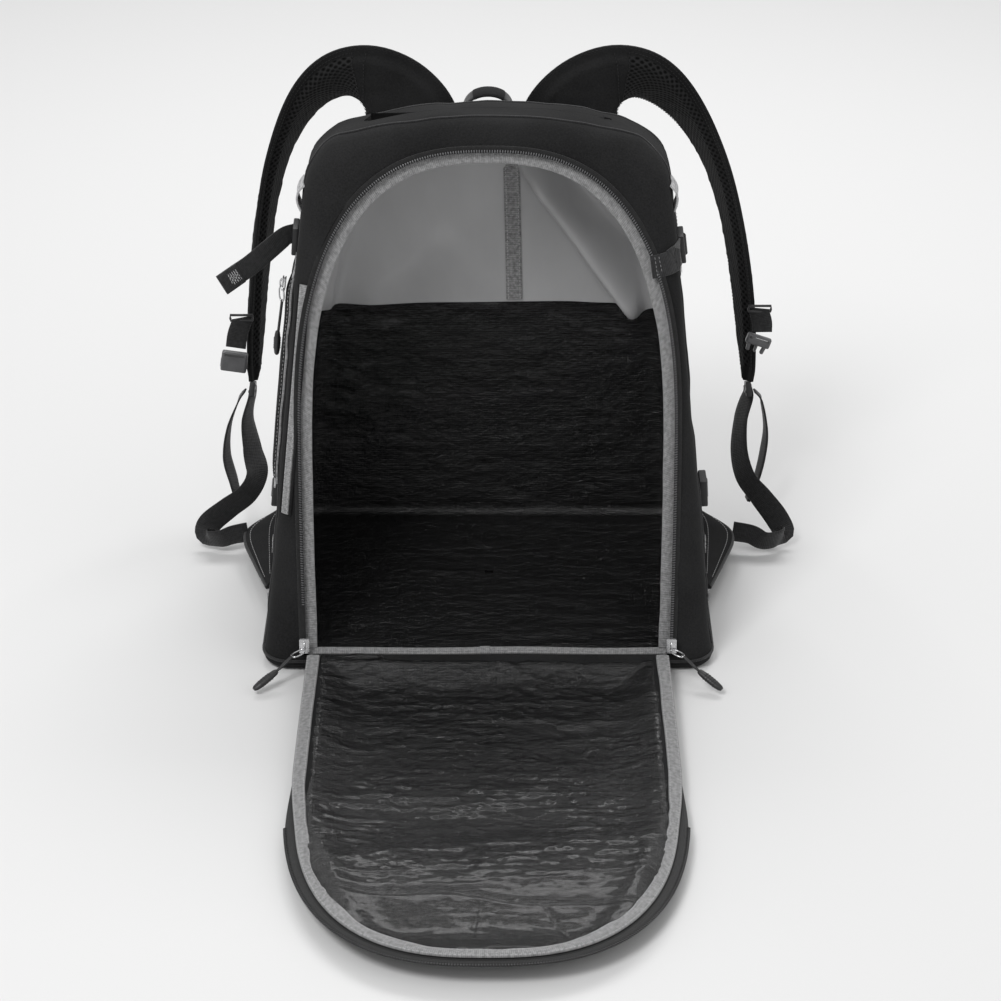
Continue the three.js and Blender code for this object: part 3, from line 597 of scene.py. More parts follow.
MATERIALS = {
    "pack_cloth": cloth_material("pack_cloth", (0.009, 0.009, 0.0093), (0.021, 0.021, 0.0215), 0.9,
                                 sheen=0.02),
    "grey_lining": lining_material(),
    "lining_tape": tape_material("lining_tape", (0.17, 0.17, 0.172), (0.42, 0.42, 0.422), 0.8, rib=0.002),
    "tarpaulin": tarpaulin_material(),
    "grey_binding": tape_material("grey_binding", (0.16, 0.16, 0.162), (0.32, 0.32, 0.322), 0.85,
                                  rib=0.0017),
    "zip_tape": tape_material("zip_tape", (0.006, 0.006, 0.006), (0.014, 0.014, 0.0145), 0.8),
    "webbing": tape_material("webbing", (0.009, 0.009, 0.0095), (0.024, 0.024, 0.025), 0.75, rib=0.0016),
    "air_mesh": mesh_material(),
    "light_tab": tape_material("light_tab", (0.36, 0.36, 0.365), (0.55, 0.55, 0.555), 0.8),
    "black_plastic": moulded_material("black_plastic", (0.014, 0.014, 0.0145), (0.022, 0.022, 0.023), 0.42),
    # Light grey plastic for the sternum buckles; on the opening coil the grey is painted glints.
    "grey_plastic": moulded_material("grey_plastic", (0.07, 0.07, 0.073), (0.11, 0.11, 0.114), 0.34),
    "zip_metal": moulded_material("zip_metal", (0.5, 0.5, 0.51), (0.68, 0.68, 0.69), 0.24, metallic=1.0),
}


def finish(obj, body, slot, *nodes):
    """Gives a piece its material, the body that it moves with and the CAD nodes it stands for."""
    if obj.name.endswith(".001"):
        obj.name = obj.name[:-4] + "_made"
    obj.data.materials.clear()
    obj.data.materials.append(MATERIALS[slot])
    if body:
        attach(obj, body)
    if nodes:
        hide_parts(*nodes)
    return obj


def bend(obj, a, b, start, end, slot, *nodes):
    """As finish, with no body: the piece is left unattached and its transform baked; a, b, start and end
    are not used.
    """
    finish(obj, None, slot, *nodes)
    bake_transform(obj)
    return obj


# ---------------------------------------------------------------- camera, light and floor
def add_camera():
    camera = bpy.data.objects.new("camera", bpy.data.cameras.new("camera"))
    bpy.context.scene.collection.objects.link(camera)
    camera.data.sensor_width = 36
    camera.data.lens = CAMERA_LENS
    camera.location = CAMERA_PLACE
    camera.rotation_euler = (math.radians(90 - CAMERA_DOWN), 0, 0)
    bpy.context.scene.camera = camera


def add_light(name, place, target, size, power):
    data = bpy.data.lights.new(name, "AREA")
    data.shape, data.size, data.size_y, data.energy = "RECTANGLE", size[0], size[1], power
    obj = bpy.data.objects.new(name, data)
    bpy.context.scene.collection.objects.link(obj)
    obj.location = place
    obj.rotation_euler = (Vector(target) - Vector(place)).to_track_quat("-Z", "Y").to_euler()


def add_stage():
    """A wide pale floor and a soft studio."""
    reach = np.linspace(-30000, 30000, 5)
    grid = np.array([[(x, y, -0.2) for x in reach] for y in reach])
    floor = sheet_solid("floor", grid, 1.0)
    material = new_material("studio_floor", (0.71, 0.71, 0.71), 0.9, Specular_IOR_Level=0.1)
    floor.data.materials.clear()
    floor.data.materials.append(material)
    world = bpy.data.worlds.new("studio")
    bpy.context.scene.world = world
    world.use_nodes = True
    world.node_tree.nodes["Background"].inputs[0].default_value = (1, 1, 1, 1)
    world.node_tree.nodes["Background"].inputs[1].default_value = 0.56
    add_light("key", (-1.0, -1.7, 2.7), (0.05, -0.05, 0.25), (1.0, 1.0), 44)
    add_light("fill", (1.6, -1.4, 1.3), (0, -0.1, 0.25), (1.4, 1.4), 5)
    add_light("rear_top", (0.2, 1.6, 2.3), (0, -0.45, 0.0), (2.2, 0.8), 40)
    bpy.context.scene.view_settings.view_transform = "Standard"


# ---------------------------------------------------------------- the shell
def opening_cutter(grow, d0, d1, foot=-2.0):
    edge, _ = opening_edge(start=0.0, step=5)
    x, s = grown(edge, grow)
    s = s.copy()
    s[0] = s[-1] = foot
    return swept("cutter", np.stack([on_front(x, s, d) for d in np.linspace(d0, d1, 4)]), angle=30)


def ringed_solid(name, rows, move=None, splits=(26, 28, 30, 28)):
    rings = np.stack([body_ring(z, inset, splits) for z, inset in rows])
    if move is not None:
        rings = move(rings)
    return swept(name, rings, angle=60)


def shell_move(rings):
    """Soft unevenness of stuffed cloth over foam: pushed mostly inwards, flat where it rests."""
    normals = surface_normals(rings, wrap=True)
    flat = rings.reshape(-1, 3)
    amount = 1.6 * noise(flat, (70, 60, 95), 3) + 0.9 * noise(flat, (26, 26, 34), 4) - 1.1
    amount += 1.1 * (creases(flat, (120, 90, 46), 5) - 0.5) * ease((flat[:, 2] - 380) / 60)
    depth = flat[:, 1] - front_y(flat[:, 2])
    seam = np.exp(-((depth - FRONT_SEAM_IN) / 11) ** 2)
    seam += np.exp(-((back_y(flat[:, 2]) - flat[:, 1] - BACK_SEAM_IN) / 11) ** 2)
    amount += seam * (0.9 * noise(flat, (17, 26, 17), 6) - 0.6)
    amount = amount.reshape(rings.shape[:2]) * ease(rings[..., 2] / 30)
    return rings + normals * amount[..., None]


def build_shell():
    outer = ringed_solid("pack_shell", body_rows(0), shell_move, (44, 60, 78, 60))
    tree = BVHTree.FromObject(outer, bpy.context.evaluated_depsgraph_get())
    cut(outer, ringed_solid("hollow", body_rows(WALL, step=14)))
    cut(outer, opening_cutter(6, -60, 40))
    outer.data.set_sharp_from_angle(angle=math.radians(50))
    smooth_faces(outer)
    finish(outer, "bag", "pack_cloth", "base_panel", "back_panel", "front_frame", "top_panel",
           "side_panel_left", "side_panel_right")
    return tree


def hit(tree, origin, direction):
    """Where a ray meets the shell, in millimetres, with the surface's normal there."""
    place, normal, _, _ = tree.ray_cast(Vector(origin) * MM, Vector(direction))
    return (np.array(place) / MM, np.array(normal)) if place else (None, None)


def on_side(tree, side, y, z, lift=0.0):
    place, normal = hit(tree, (side * 400, y, z), (-side, 0, 0))
    normal = normal if normal[0] * side > 0 else -normal
    return place + normal * lift, normal


def seam_route(tree, depth_of, from_back):
    """A seam that runs up one side, over the top and down the other, a fixed depth from a face."""
    zs = np.linspace(8, 452, 60)
    right = [on_side(tree, 1, depth_of(z), z, 0.2)[0] for z in zs]
    left = [on_side(tree, -1, depth_of(z), z, 0.2)[0] for z in zs]
    top = []
    for x in np.linspace(right[-1][0] - 4, left[-1][0] + 4, 60):
        y = depth_of(DOME_START + (8 if from_back else 14))
        place, _ = hit(tree, (x, y, 700), (0, 0, -1))
        if place is not None:
            top.append(place + np.array([0, 0, 0.2]))
    return smooth_route(np.array(right + top + left[::-1]), 260)


def build_seams(tree):
    front = seam_route(tree, lambda z: float(front_y(z)) + FRONT_SEAM_IN, False)
    back = seam_route(tree, lambda z: float(back_y(z)) - BACK_SEAM_IN, True)
    for name, route in (("front_seam_piping", front), ("back_seam_piping", back)):
        finish(tube(name, route, 1.3), "bag", "webbing")
    base = body_ring(11, 0)
    finish(tube("base_seam_piping", base * np.array([1.001, 1.001, 1]), 1.4, closed=True), "bag", "webbing")


# ---------------------------------------------------------------- lining
def lining_move(rings):
    """Cloth that hangs loosely inside: a long drape on the right, smaller folds elsewhere."""
    normals = surface_normals(rings, wrap=True)
    flat = rings.reshape(-1, 3)
    x, y, z = flat.T
    behind = ease((y - front_y(z) - 16) / 70)
    top = 1 - ease((z - 448) / 26)
    soft = 3.0 * (noise(flat, (90, 90, 130), 21) + 1) + 1.6 * (noise(flat, (38, 38, 60), 22) + 1)

    def drape(x0, z0, x1, z1, steep, gentle, tall):
        along = np.array([x1 - x0, z1 - z0])
        length = np.linalg.norm(along)
        t = ((x - x0) * along[0] + (z - z0) * along[1]) / length ** 2
        off = ((x - x0) * along[1] - (z - z0) * along[0]) / length
        wide = np.where(off > 0, steep, gentle)
        return tall * np.exp(-(off / wide) ** 2) * ease((t + 0.15) / 0.3) * ease((1.25 - t) / 0.3)

    folds = drape(36, 404, 136, 256, 5, 22, 36) + drape(76, 414, 152, 322, 5, 12, 13)
    folds += drape(-128, 380, -160, 262, 26, 8, 14) + drape(-40, 330, -120, 262, 14, 30, 5)
    amount = (soft + folds) * behind * top
    return rings - normals * amount.reshape(rings.shape[:2])[..., None]


def liner_move(rings):
    """Crinkled tarpaulin tub."""
    normals = surface_normals(rings, wrap=True)
    flat = rings.reshape(-1, 3)
    x, y, z = flat.T
    behind = ease((y - front_y(z) - 14) / 40)
    amount = 1.6 * creases(flat, (64, 64, 40), 31) + 1.3 * creases(flat, (26, 26, 12),
            32) + 0.8 * creases(flat, (12, 12, 5), 33)
    amount *= (0.25 + 0.75 * behind) * ease((z - 8) / 20)
    return rings - normals * amount.reshape(rings.shape[:2])[..., None]


def build_lining():
    skin = WALL + 0.9
    cloth_rows = body_rows(skin, low=LINING_SEAM_Z, step=5)
    cloth = lining_piece("cloth_lining", cloth_rows, lining_move)
    finish(cloth, "bag", "grey_lining", "cloth_lining")
    tarp_rows = body_rows(skin, high=LINING_SEAM_Z - 0.5, step=3.2)
    tarp = lining_piece("tarpaulin_liner", tarp_rows, liner_move)
    finish(tarp, "bag", "tarpaulin", "tarpaulin_liner")
    build_seam_tape(cloth)


def build_seam_tape(cloth):
    """The tape over the lining's own seam, sewn along both edges."""
    tree = BVHTree.FromObject(cloth, bpy.context.evaluated_depsgraph_get())
    middle = []
    for z in np.linspace(258, 452, 70):
        row = [hit(tree, (21 + 4 * (452 - z) / 194 + k, 0, z), (0, 1, 0))[0] for k in (-7.5, 0, 7.5)]
        if all(p is not None for p in row):
            middle.append(np.array(row))
    rows = np.array(middle)
    across = unit(rows[:, 2] - rows[:, 0])
    along = direction(rows[:, 1])
    normal = unit(np.cross(along, across))
    normal *= np.where(normal[:, 1] > 0, -1, 1)[:, None]
    centre = rows[:, 1] + normal * 1.2
    finish(band("lining_seam_tape", centre, across, normal, 15.5, 1.0, bulge=0.6), "bag", "lining_tape")
    for k in (-5.6, 5.6):
        line = centre + across * k + normal * 0.7
        finish(stitches(f"lining_seam_stitching_{'left' if k < 0 else 'right'}", line, normal), "bag",
               "grey_lining")


def lining_piece(name, rows, move):
    """The lining between two levels as one sheet: walls and, at its end, the floor or ceiling."""
    rings = np.stack([body_ring(z, inset, (40, 64, 84, 64), 12) for z, inset in rows])
    rings = move(rings)
    if rows[0][0] < LINING_SEAM_Z - 1:
        centre = rings[0].mean(axis=0)
        caps = [centre + (rings[0] - centre) * k for k in np.linspace(0.02, 0.97, 48)]
        crumple = [c + np.array([0, 0, 1])
                   * (fade * (1.6 * creases(c, (60, 20, 30), 34) + 1.1 * creases(c, (24, 9, 12), 35)))[:,
                None]
                   for c, fade in zip(caps, np.append(np.ones(42), np.linspace(0.9, 0.1, 6)))]
        rings = np.concatenate([crumple, rings])
    else:
        centre = rings[-1].mean(axis=0)
        rings = np.concatenate([rings, [centre + (rings[-1] - centre) * k for k in (0.7, 0.35, 0.03)]])
    grid = rings[:, ::-1]
    u = travelled(grid[len(grid) // 2])
    v = travelled(grid[:, 40])
    flat = np.stack(np.broadcast_arrays(u[None], v[:, None]), axis=-1).copy()
    level = len(rings) - len(rows) if rows[0][0] < LINING_SEAM_Z - 1 else 0
    flat[:level] = grid[:level, :, :2]
    sheet = sheet_solid(name, grid, -0.6, wrap=True, uv=flat, angle=80)
    cut(sheet, opening_cutter(12, -60, 12, foot=-16))
    smooth_faces(sheet)
    return sheet


# ---------------------------------------------------------------- bindings, zips and the mouth
def edge_band(name, mapper, grow0, grow1, d, thick, start=0.012, puff=0.0):
    """A folded tape along the zip line between two growths, its top at depth d, slightly crowned."""
    edge, along = opening_edge(start, 2.0)
    lines = []
    profile = [(0, 0.15), (0, 0.75), (0.06, 1), (0.3, 1), (0.5, 1), (0.7, 1), (0.94, 1), (1, 0.75),
               (1, 0.15), (0.94, 0), (0.5, 0), (0.06, 0)]
    for across, level in profile:
        grow = grow0 + (grow1 - grow0) * across
        x, s = grown(edge, grow)
        crown = puff * 4 * across * (1 - across) * level
        lines.append(mapper(x, s, d + thick * level + crown))
    width = float(np.mean(np.abs(np.subtract(grow1, grow0))))
    turns = np.concatenate([[0], np.cumsum(np.abs(np.diff([p[0] for p in profile] + [0])) * width)])
    return swept(name, np.stack(lines, axis=1), uv_along=along, uv_round=turns, angle=55)


def teeth(name, mapper, grow, d, start=0.03, end=0.97, pitch=2.3, size=(0.75, 2.4, 1.1)):
    """The coil of a zip: one small bent loop for each tooth."""
    edge, along = opening_edge(start, 1.0)
    total = along[-1]
    first = total * start if start > 0.1 else 0
    at = np.arange(first + 1, total * end, pitch)
    x, s = grown(edge, grow)
    centre = mapper(x, s, d)
    x2, s2 = grown(edge, grow + 1.0)
    outward = unit(mapper(x2, s2, d) - centre)
    lift = unit(mapper(x, s, d + 1.0) - centre)
    p = resample(at, along, centre)
    o = unit(resample(at, along, outward))
    u = unit(resample(at, along, lift))
    t = np.cross(o, u)
    vertices, faces = [], []
    ring = [(-1, -1), (-1, 1), (1, 1), (1, -1)]
    stations = [(-1, 0.25, 0.7), (-0.4, 1.0, 1.0), (0.5, 1.0, 1.0), (1, 0.35, 0.7)]
    for k in range(len(p)):
        base = len(vertices)
        for a, rise, wide in stations:
            for i, j in ring:
                vertices.append(p[k] + o[k] * a * size[1] / 2 + t[k] * i * size[0] * wide / 2
                                + u[k] * (j * size[2] / 2 * 0.6 + rise * size[2] * 0.4))
        faces += link_faces(base)
    return face_out(make_object(name, vertices, faces, angle=70))


def stitches(name, points, out, length=2.4, gap=1.3, radius=0.3):
    """A row of thread stitches lying on a surface along points; out is the surface's normal."""
    p = np.asarray(points, float)
    along = travelled(p)
    out = unit(np.broadcast_to(np.asarray(out, float), p.shape))
    vertices, faces = [], []

    def at(value, table):
        return np.array([np.interp(value, along, table[:, k]) for k in range(3)])

    for start in np.arange(0.5, along[-1] - length, length + gap):
        base = len(vertices)
        for f, wide in ((0, 0.35), (0.2, 1), (0.8, 1), (1, 0.35)):
            c, n = at(start + length * f, p), unit(at(start + length * f, out))
            t = unit(at(start + length * f + 0.2, p) - at(start + length * f - 0.2, p))
            side = np.cross(t, n)
            for a, b in ((-1, -0.4), (-0.6, 0.8), (0.6, 0.8), (1, -0.4)):
                vertices.append(c + side * a * radius * wide + n * b * radius * wide)
        faces += link_faces(base)
    return face_out(make_object(name, vertices, faces, angle=70))


def link_faces(base):
    """Faces of a closed link with four corners at each of its four stations."""
    faces = []
    for b in (base, base + 4, base + 8):
        faces += [(b + i, b + (i + 1) % 4, b + 4 + (i + 1) % 4, b + 4 + i) for i in range(4)]
    return faces + [(base + 3, base + 2, base + 1, base), (base + 12, base + 13, base + 14, base + 15)]


def build_mouth():
    edge, along = opening_edge(0.012, 2.0)
    wave = 0.5 * noise(np.column_stack([along, along * 0, along * 0]), 26, 41)
    binding = edge_band("opening_binding", on_front, -9.6 + wave, 6.4, 9.0, -2.2, puff=-0.3)
    finish(binding, "bag", "grey_binding", "opening_binding")
    tape = edge_band("opening_zip_tape", on_front, 0.2, 6.6, 1.6, -1.2)
    finish(tape, "bag", "zip_tape", "opening_zip_tape")
    # The opening coil takes the light grey material as painted glints on its teeth; the flap's half of this
    # zip is black.
    finish(teeth("opening_coil", on_front, 1.6, 0.1, size=(1.1, 2.8, -1.6)), "bag", "grey_plastic")
    x, s = grown(edge, -1.2)
    inner = on_front(x, s, 6.6)
    normal = unit(on_front(x, s, 0) - on_front(x, s, 1))
    finish(stitches("opening_binding_stitching", inner, normal), "bag", "grey_binding")
    xs = np.linspace(-166, 166, 110)
    pts = np.column_stack([xs, -144.5 + 0.5 * np.sin(xs / 23), 19.0 + 0.5 * np.sin(xs / 31 + 1)])
    sill = band("sill_binding", pts, (0, 1, 0.1), (0, -0.15, 1), 9.5, 2.2, bulge=0.35)
    finish(sill, "bag", "grey_binding", "sill_binding")
    seam = pts[abs(pts[:, 0] + 3) < 7] + np.array([0, 0, 0.5])
    finish(band("sill_binding_joint", seam, (0, 1, 0.1), (0, -0.15, 1), 10.4, 2.4, bulge=0.3), "bag",
           "grey_binding")
    finish(stitches("sill_stitching", pts + np.array([0, -2.6, 1.5]), (0, -0.15, 1)), "bag", "grey_binding")
    xs = np.linspace(-165, 165, 60)
    rows = [(-143, 15.5), (-147, 15.2), (-150, 14.6), (-153, 14.8), (-157, 15.2), (-161, 15.0)]
    grid = np.array([[(x, y, z + 0.3 * math.sin(x / 17)) for x in xs] for y, z in rows])
    strip = sheet_solid("hinge_cloth", grid[:, ::-1], 1.4)
    bend(strip, "bag", "flap", (0, -147, 18), (0, -155, 18), "pack_cloth")


# ---------------------------------------------------------------- the flap
def flap_inside(x, s, end=OPENING_LENGTH):
    half = opening_half(np.minimum(s / OPENING_LENGTH, 1))
    return np.maximum(np.minimum(np.minimum(half - np.abs(x), end - s), s * 1.2), 0)


def flap_grid(grow, spacing):
    end = OPENING_LENGTH + grow
    low = np.arange(5, STRAIGHT_SHARE * end, spacing)
    last = (STRAIGHT_SHARE + (1 - STRAIGHT_SHARE) * math.sin(math.radians(86)) ** (2 / ARCH_POWER)) * end
    s = np.concatenate([low, np.linspace(low[-1] + spacing, last, int((last - low[-1]) / spacing))])
    c = np.linspace(-1, 1, int(330 / spacing))
    half = opening_half(np.minimum(s / end, 1)) * (OPENING_HALF + grow) / OPENING_HALF
    return half[:, None] * c[None], np.repeat(s[:, None], len(c), 1)


def flap_underside(x, s):
    rim = HINGE_Z - bow(s) - 1.5
    return rim * (1 - ease(flap_inside(x, s) / 60))


def flap_surface(grow, spacing, lift):
    x, s = flap_grid(grow, spacing)
    z = flap_underside(x, s) + lift(x, s)
    return np.stack([x, HINGE_Y - s, z], axis=-1)


def mat_relief(x, s):
    """Heights of the crinkled mat: long folds across, sharper creases, then fine crackle."""
    flat = np.column_stack([x.ravel(), s.ravel(), np.zeros(x.size)])
    across, down = flat[:, 0], flat[:, 1]
    half = opening_half(np.minimum(down / OPENING_LENGTH, 1))
    inside = np.minimum(np.minimum(half - np.abs(across), OPENING_LENGTH - down), 8 + down * 1.5)
    hump = 11 * ease((down - 235) / 100) * (1 - ease((down - 348) / 84))
    big = 1.5 * creases(flat, (170, 60, 50), 51) + 1.6 * noise(flat, (110, 70, 50), 52)
    rough = 0.45 + 0.55 * ease((noise(flat, (90, 50, 50), 57) + 0.5) / 0.6)
    mid = 1.9 * creases(flat, (54, 15, 20), 53) + 1.1 * creases(flat, (22, 9, 20), 54)
    fine = 0.6 * creases(flat, (10, 5.5, 10), 55) + 0.34 * noise(flat, (5.5, 3.8, 10), 56)
    smooth_end = 1 - 0.72 * ease((down - 335) / 30) * (1 - ease((down - 425) / 20))
    height = big + (mid * rough + fine) * smooth_end
    dent = -1.6 * np.exp(-((down - 372 - 7 * np.sin(across / 60) - 2 * np.sin(across / 17)) / 2.4) ** 2)
    dent -= 1.2 * np.exp(-((across - 52 - 0.5 * (down - 390)) / 2.2) ** 2) * ease((down - 372) / 10)
    dent -= 1.0 * np.exp(-((across + 8 + 0.1 * (down - 390)) / 2.0) ** 2) * ease((down - 372) / 10)
    return (hump * ease((inside - 10) / 22) + (height + dent) * ease((inside - 10) / 6)).reshape(x.shape)


def build_flap():
    panel = flap_surface(-6, 6, lambda x, s: 3.4)
    outer = sheet_solid("flap_panel", panel[:, ::-1], -3.4)
    finish(outer, "flap", "pack_cloth", "flap_panel")
    mat = flap_surface(-9.5, 1.7, lambda x, s: 3.9 + 3.4 * ease((flap_inside(x, s) - 12) / 9)
                       + mat_relief(x, s))
    sheet = sheet_solid("flap_mat", mat, -0.5, angle=75)
    finish(sheet, "flap", "tarpaulin", "flap_mat")
    edge, along = opening_edge(0.02, 2.0)
    share = edge[:, 1] / OPENING_LENGTH
    curved = ease((share - 0.4) / 0.22)
    line = np.column_stack([along, along * 0, along * 0])
    wavy = curved * (2.2 * noise(line, 34, 61) + 0.8 * noise(line, 15, 62)) + 0.5 * noise(line, 40, 63)
    inner, out = -12.8 - 3.4 * curved + wavy, -1.0 - 4.6 * curved
    binding = edge_band("flap_binding", on_flap, inner, out, 3.8, 2.0, start=0.02, puff=0.7)
    finish(binding, "flap", "grey_binding", "flap_binding")
    for name, k, d in (("flap_binding_stitching_inner", 1.3, 6.1),
                       ("flap_binding_stitching_outer", -1.1, 6.0)):
        x, s = grown(edge, (inner if k > 0 else out) + k)
        finish(stitches(name, on_flap(x, s, d), (0, 0, 1)), "flap", "light_tab")
    tape = edge_band("flap_zip_tape", on_flap, -10.0, -1.8 + 4.4 * curved, 1.4, 1.3, start=0.02)
    finish(tape, "flap", "zip_tape", "flap_zip_tape")
    finish(teeth("flap_coil", on_flap, 2.4, 2.2, start=0.19, end=0.81, size=(1.0, 3.2, 1.7)), "flap",
           "black_plastic")


# ---------------------------------------------------------------- straps
PAD_ROUTES = {
    "left": [[-66, 121, 424, 90, 0], [-76, 121, 448, 88, 0], [-92, 125, 466, 82, 4],
             [-115, 135, 475, 76, 14],
             [-141, 150, 470, 70, 30], [-167, 166, 448, 66, 48], [-190, 180, 412, 64, 63], [-208, 191, 366,
                     63, 72],
             [-221, 198, 308, 62, 78], [-229, 199, 248, 60, 80], [-234, 194, 196, 54, 80], [-237, 186, 158,
                     40, 80],
             [-238, 181, 140, 26, 80]],
    "right": [[68, 121, 424, 90, 0], [80, 121, 448, 88, 0], [98, 126, 466, 82, 4], [122, 136, 475, 76, 14],
              [149, 151, 469, 70, 28], [176, 167, 446, 66, 44], [202, 181, 409, 64, 58], [224, 192, 362, 63,
                      67],
              [241, 199, 304, 62, 72], [252, 200, 244, 60, 73], [258, 195, 194, 54, 74], [261, 186, 158, 40,
                      75],
              [261, 181, 140, 26, 75]],
}
WEBBING_ROUTES = {
    "left": [[-238, 178, 136, 24, 78], [-239, 173, 127, 24, 74], [-243, 160, 106, 24, 66],
             [-238, 141, 82, 24, 50],
             [-233, 122, 64, 24, 30], [-242, 108, 49, 24, 14], [-262, 100, 36, 24, 4], [-280, 90, 24, 24,
                     -8],
             [-282, 78, 16, 22, -20], [-268, 72, 17, 22, -14], [-255, 75, 20, 22, -6], [-240, 77, 22, 22,
                     0]],
    "right": [[261, 178, 136, 24, 75], [261, 173, 127, 24, 72], [254, 160, 106, 24, 66],
              [252, 141, 80, 24, 48],
              [258, 122, 60, 24, 26], [273, 110, 44, 24, 10], [288, 100, 27, 24, 0], [295, 86, 17, 22, -10],
              [288, 74, 16, 22, -16], [274, 70, 16, 22, -10], [261, 74, 21, 22, -4], [243, 77, 23, 22, 0]],
}
TAIL_ROUTES = {
    "left": [[-247, 176, 131, 20, 84], [-253, 168, 122, 20, 84], [-262, 156, 100, 20, 80],
             [-264, 140, 76, 20, 76],
             [-257, 124, 54, 20, 78], [-251, 114, 34, 20, 82]],
    "right": [[269, 176, 131, 20, 84], [275, 168, 122, 20, 84], [279, 156, 98, 20, 84],
              [276, 142, 76, 20, 82],
              [270, 131, 54, 18, 84], [262, 126, 32, 16, 90]],
}
BAND = 8.5


def strap_frame(points, side, twist):
    along = direction(points)
    face = np.array([0.0, -1, 0]) - along * (along @ np.array([0.0, -1, 0]))[:, None]
    face = unit(face)
    out = -side * np.cross(along, face)
    angle = np.radians(twist)[:, None]
    return out * np.cos(angle) + face * np.sin(angle), face * np.cos(angle) - out * np.sin(angle)


class Strap:
    """A padded shoulder strap: a foam body with a flat bound edge on either side."""

    def __init__(self, name, side, count=120):
        rows = smooth_route(PAD_ROUTES[name], count)
        self.points, self.width = rows[:, :3], rows[:, 3]
        self.out, self.face = strap_frame(self.points, side, rows[:, 4])
        self.swing = ((side * 80, 125, 464), (side * 150, 125, 464))

    def at(self, i, a, upper=1, lift=0.0):
        """Points i along and a in -1..1 across, on the wearer's face (upper 1) or the outer face (-1)."""
        i, a = np.broadcast_arrays(np.asarray(i), np.asarray(a, float))
        width = self.width[i]
        inside = width / 2 * (1 - abs(a)) - BAND
        high = 2.0 + 4.4 * ease(inside / 7.5) - 0.9 * ease((abs(a) - 0.93) / 0.07)
        p = self.points[i] + self.out[i] * (a * width / 2)[..., None]
        flat = p.reshape(-1, 3)
        ripple = 0.35 * noise(flat, (9, 9, 7), 71) + 0.7 * (creases(flat, (30, 30, 9), 72) - 0.4)
        high = high + ripple.reshape(a.shape) * ease(inside / 6)
        return p + self.face[i] * (upper * (high + lift))[..., None]

    def edge(self, i, inset):
        return 1 - 2 * inset / self.width[i]

    def overlay(self, name, i0, i1, inset, lift, columns=34):
        i = np.arange(i0, i1)[:, None]
        a = self.edge(i, inset) * np.linspace(-1, 1, columns)[None]
        grid = self.at(i, a, 1, lift)
        along = travelled(self.points[i0:i1])
        flat = np.stack([a * self.width[i] / 2, np.repeat(along[:, None], columns, 1)], axis=-1)
        if np.dot(surface_normals(grid)[3, 3], self.face[i0 + 3]) < 0:
            grid, flat = grid[:, ::-1], flat[:, ::-1]
        return sheet_solid(name, grid, 1.0, uv=flat)


def build_strap(name, side):
    strap = Strap(name, side)
    n = len(strap.points)
    across = np.concatenate([[-1, -0.985], np.linspace(-0.96, 0.96, 25), [0.985, 1]])
    every = np.arange(n)[:, None]
    rings = np.concatenate([strap.at(every, across[None], 1), strap.at(every, across[None, ::-1], -1)],
                           axis=1)
    shell = swept(f"shoulder_strap_{name}", rings, angle=60)
    bend(shell, "bag", f"strap_{name}", *strap.swing, "pack_cloth", f"shoulder_yoke_{name}",
         f"shoulder_pad_{name}")
    seam = int(np.argmin(np.abs(np.abs(strap.points[:, 0]) - 117) + 100 * (np.arange(n) < 20)))
    mesh = strap.overlay(f"strap_mesh_{name}", seam, n - 4, BAND + 0.5, 0.5)
    bend(mesh, "bag", f"strap_{name}", *strap.swing, "air_mesh")
    yoke = strap.overlay(f"yoke_patch_{name}", 2, seam + 2, 2.5, 0.9)
    bend(yoke, "bag", f"strap_{name}", *strap.swing, "pack_cloth")
    for k, (sign, inset) in enumerate(((-1, BAND - 2.6), (1, BAND - 2.6), (-1, 1.6), (1, 1.6))):
        inner = np.arange(3, n - 3)
        line = strap.at(inner, sign * strap.edge(inner, inset), 1, 0.25)
        row = stitches(f"strap_stitching_{name}_{k}", line, strap.face[3:n - 3])
        bend(row, "bag", f"strap_{name}", *strap.swing, "webbing")
    for k, step in enumerate((-1, 1)):
        line = strap.at(seam + step, np.linspace(-0.9, 0.9, 30), 1, 2.1 if step < 0 else 1.7)
        row = stitches(f"yoke_stitching_{name}_{k}", line, strap.face[seam])
        bend(row, "bag", f"strap_{name}", *strap.swing, "webbing")
    build_strap_end(name, side)


def webbing(name, rows, side, thick=1.6, count=90):
    """A webbing strip along a route, and how long it is in metres."""
    route = smooth_route(rows, count)
    out, face = strap_frame(route[:, :3], side, route[:, 4])
    strip = band(name, route[:, :3], out, face, route[:, 3], thick)
    return strip, route_length(route) * MM, route, out, face


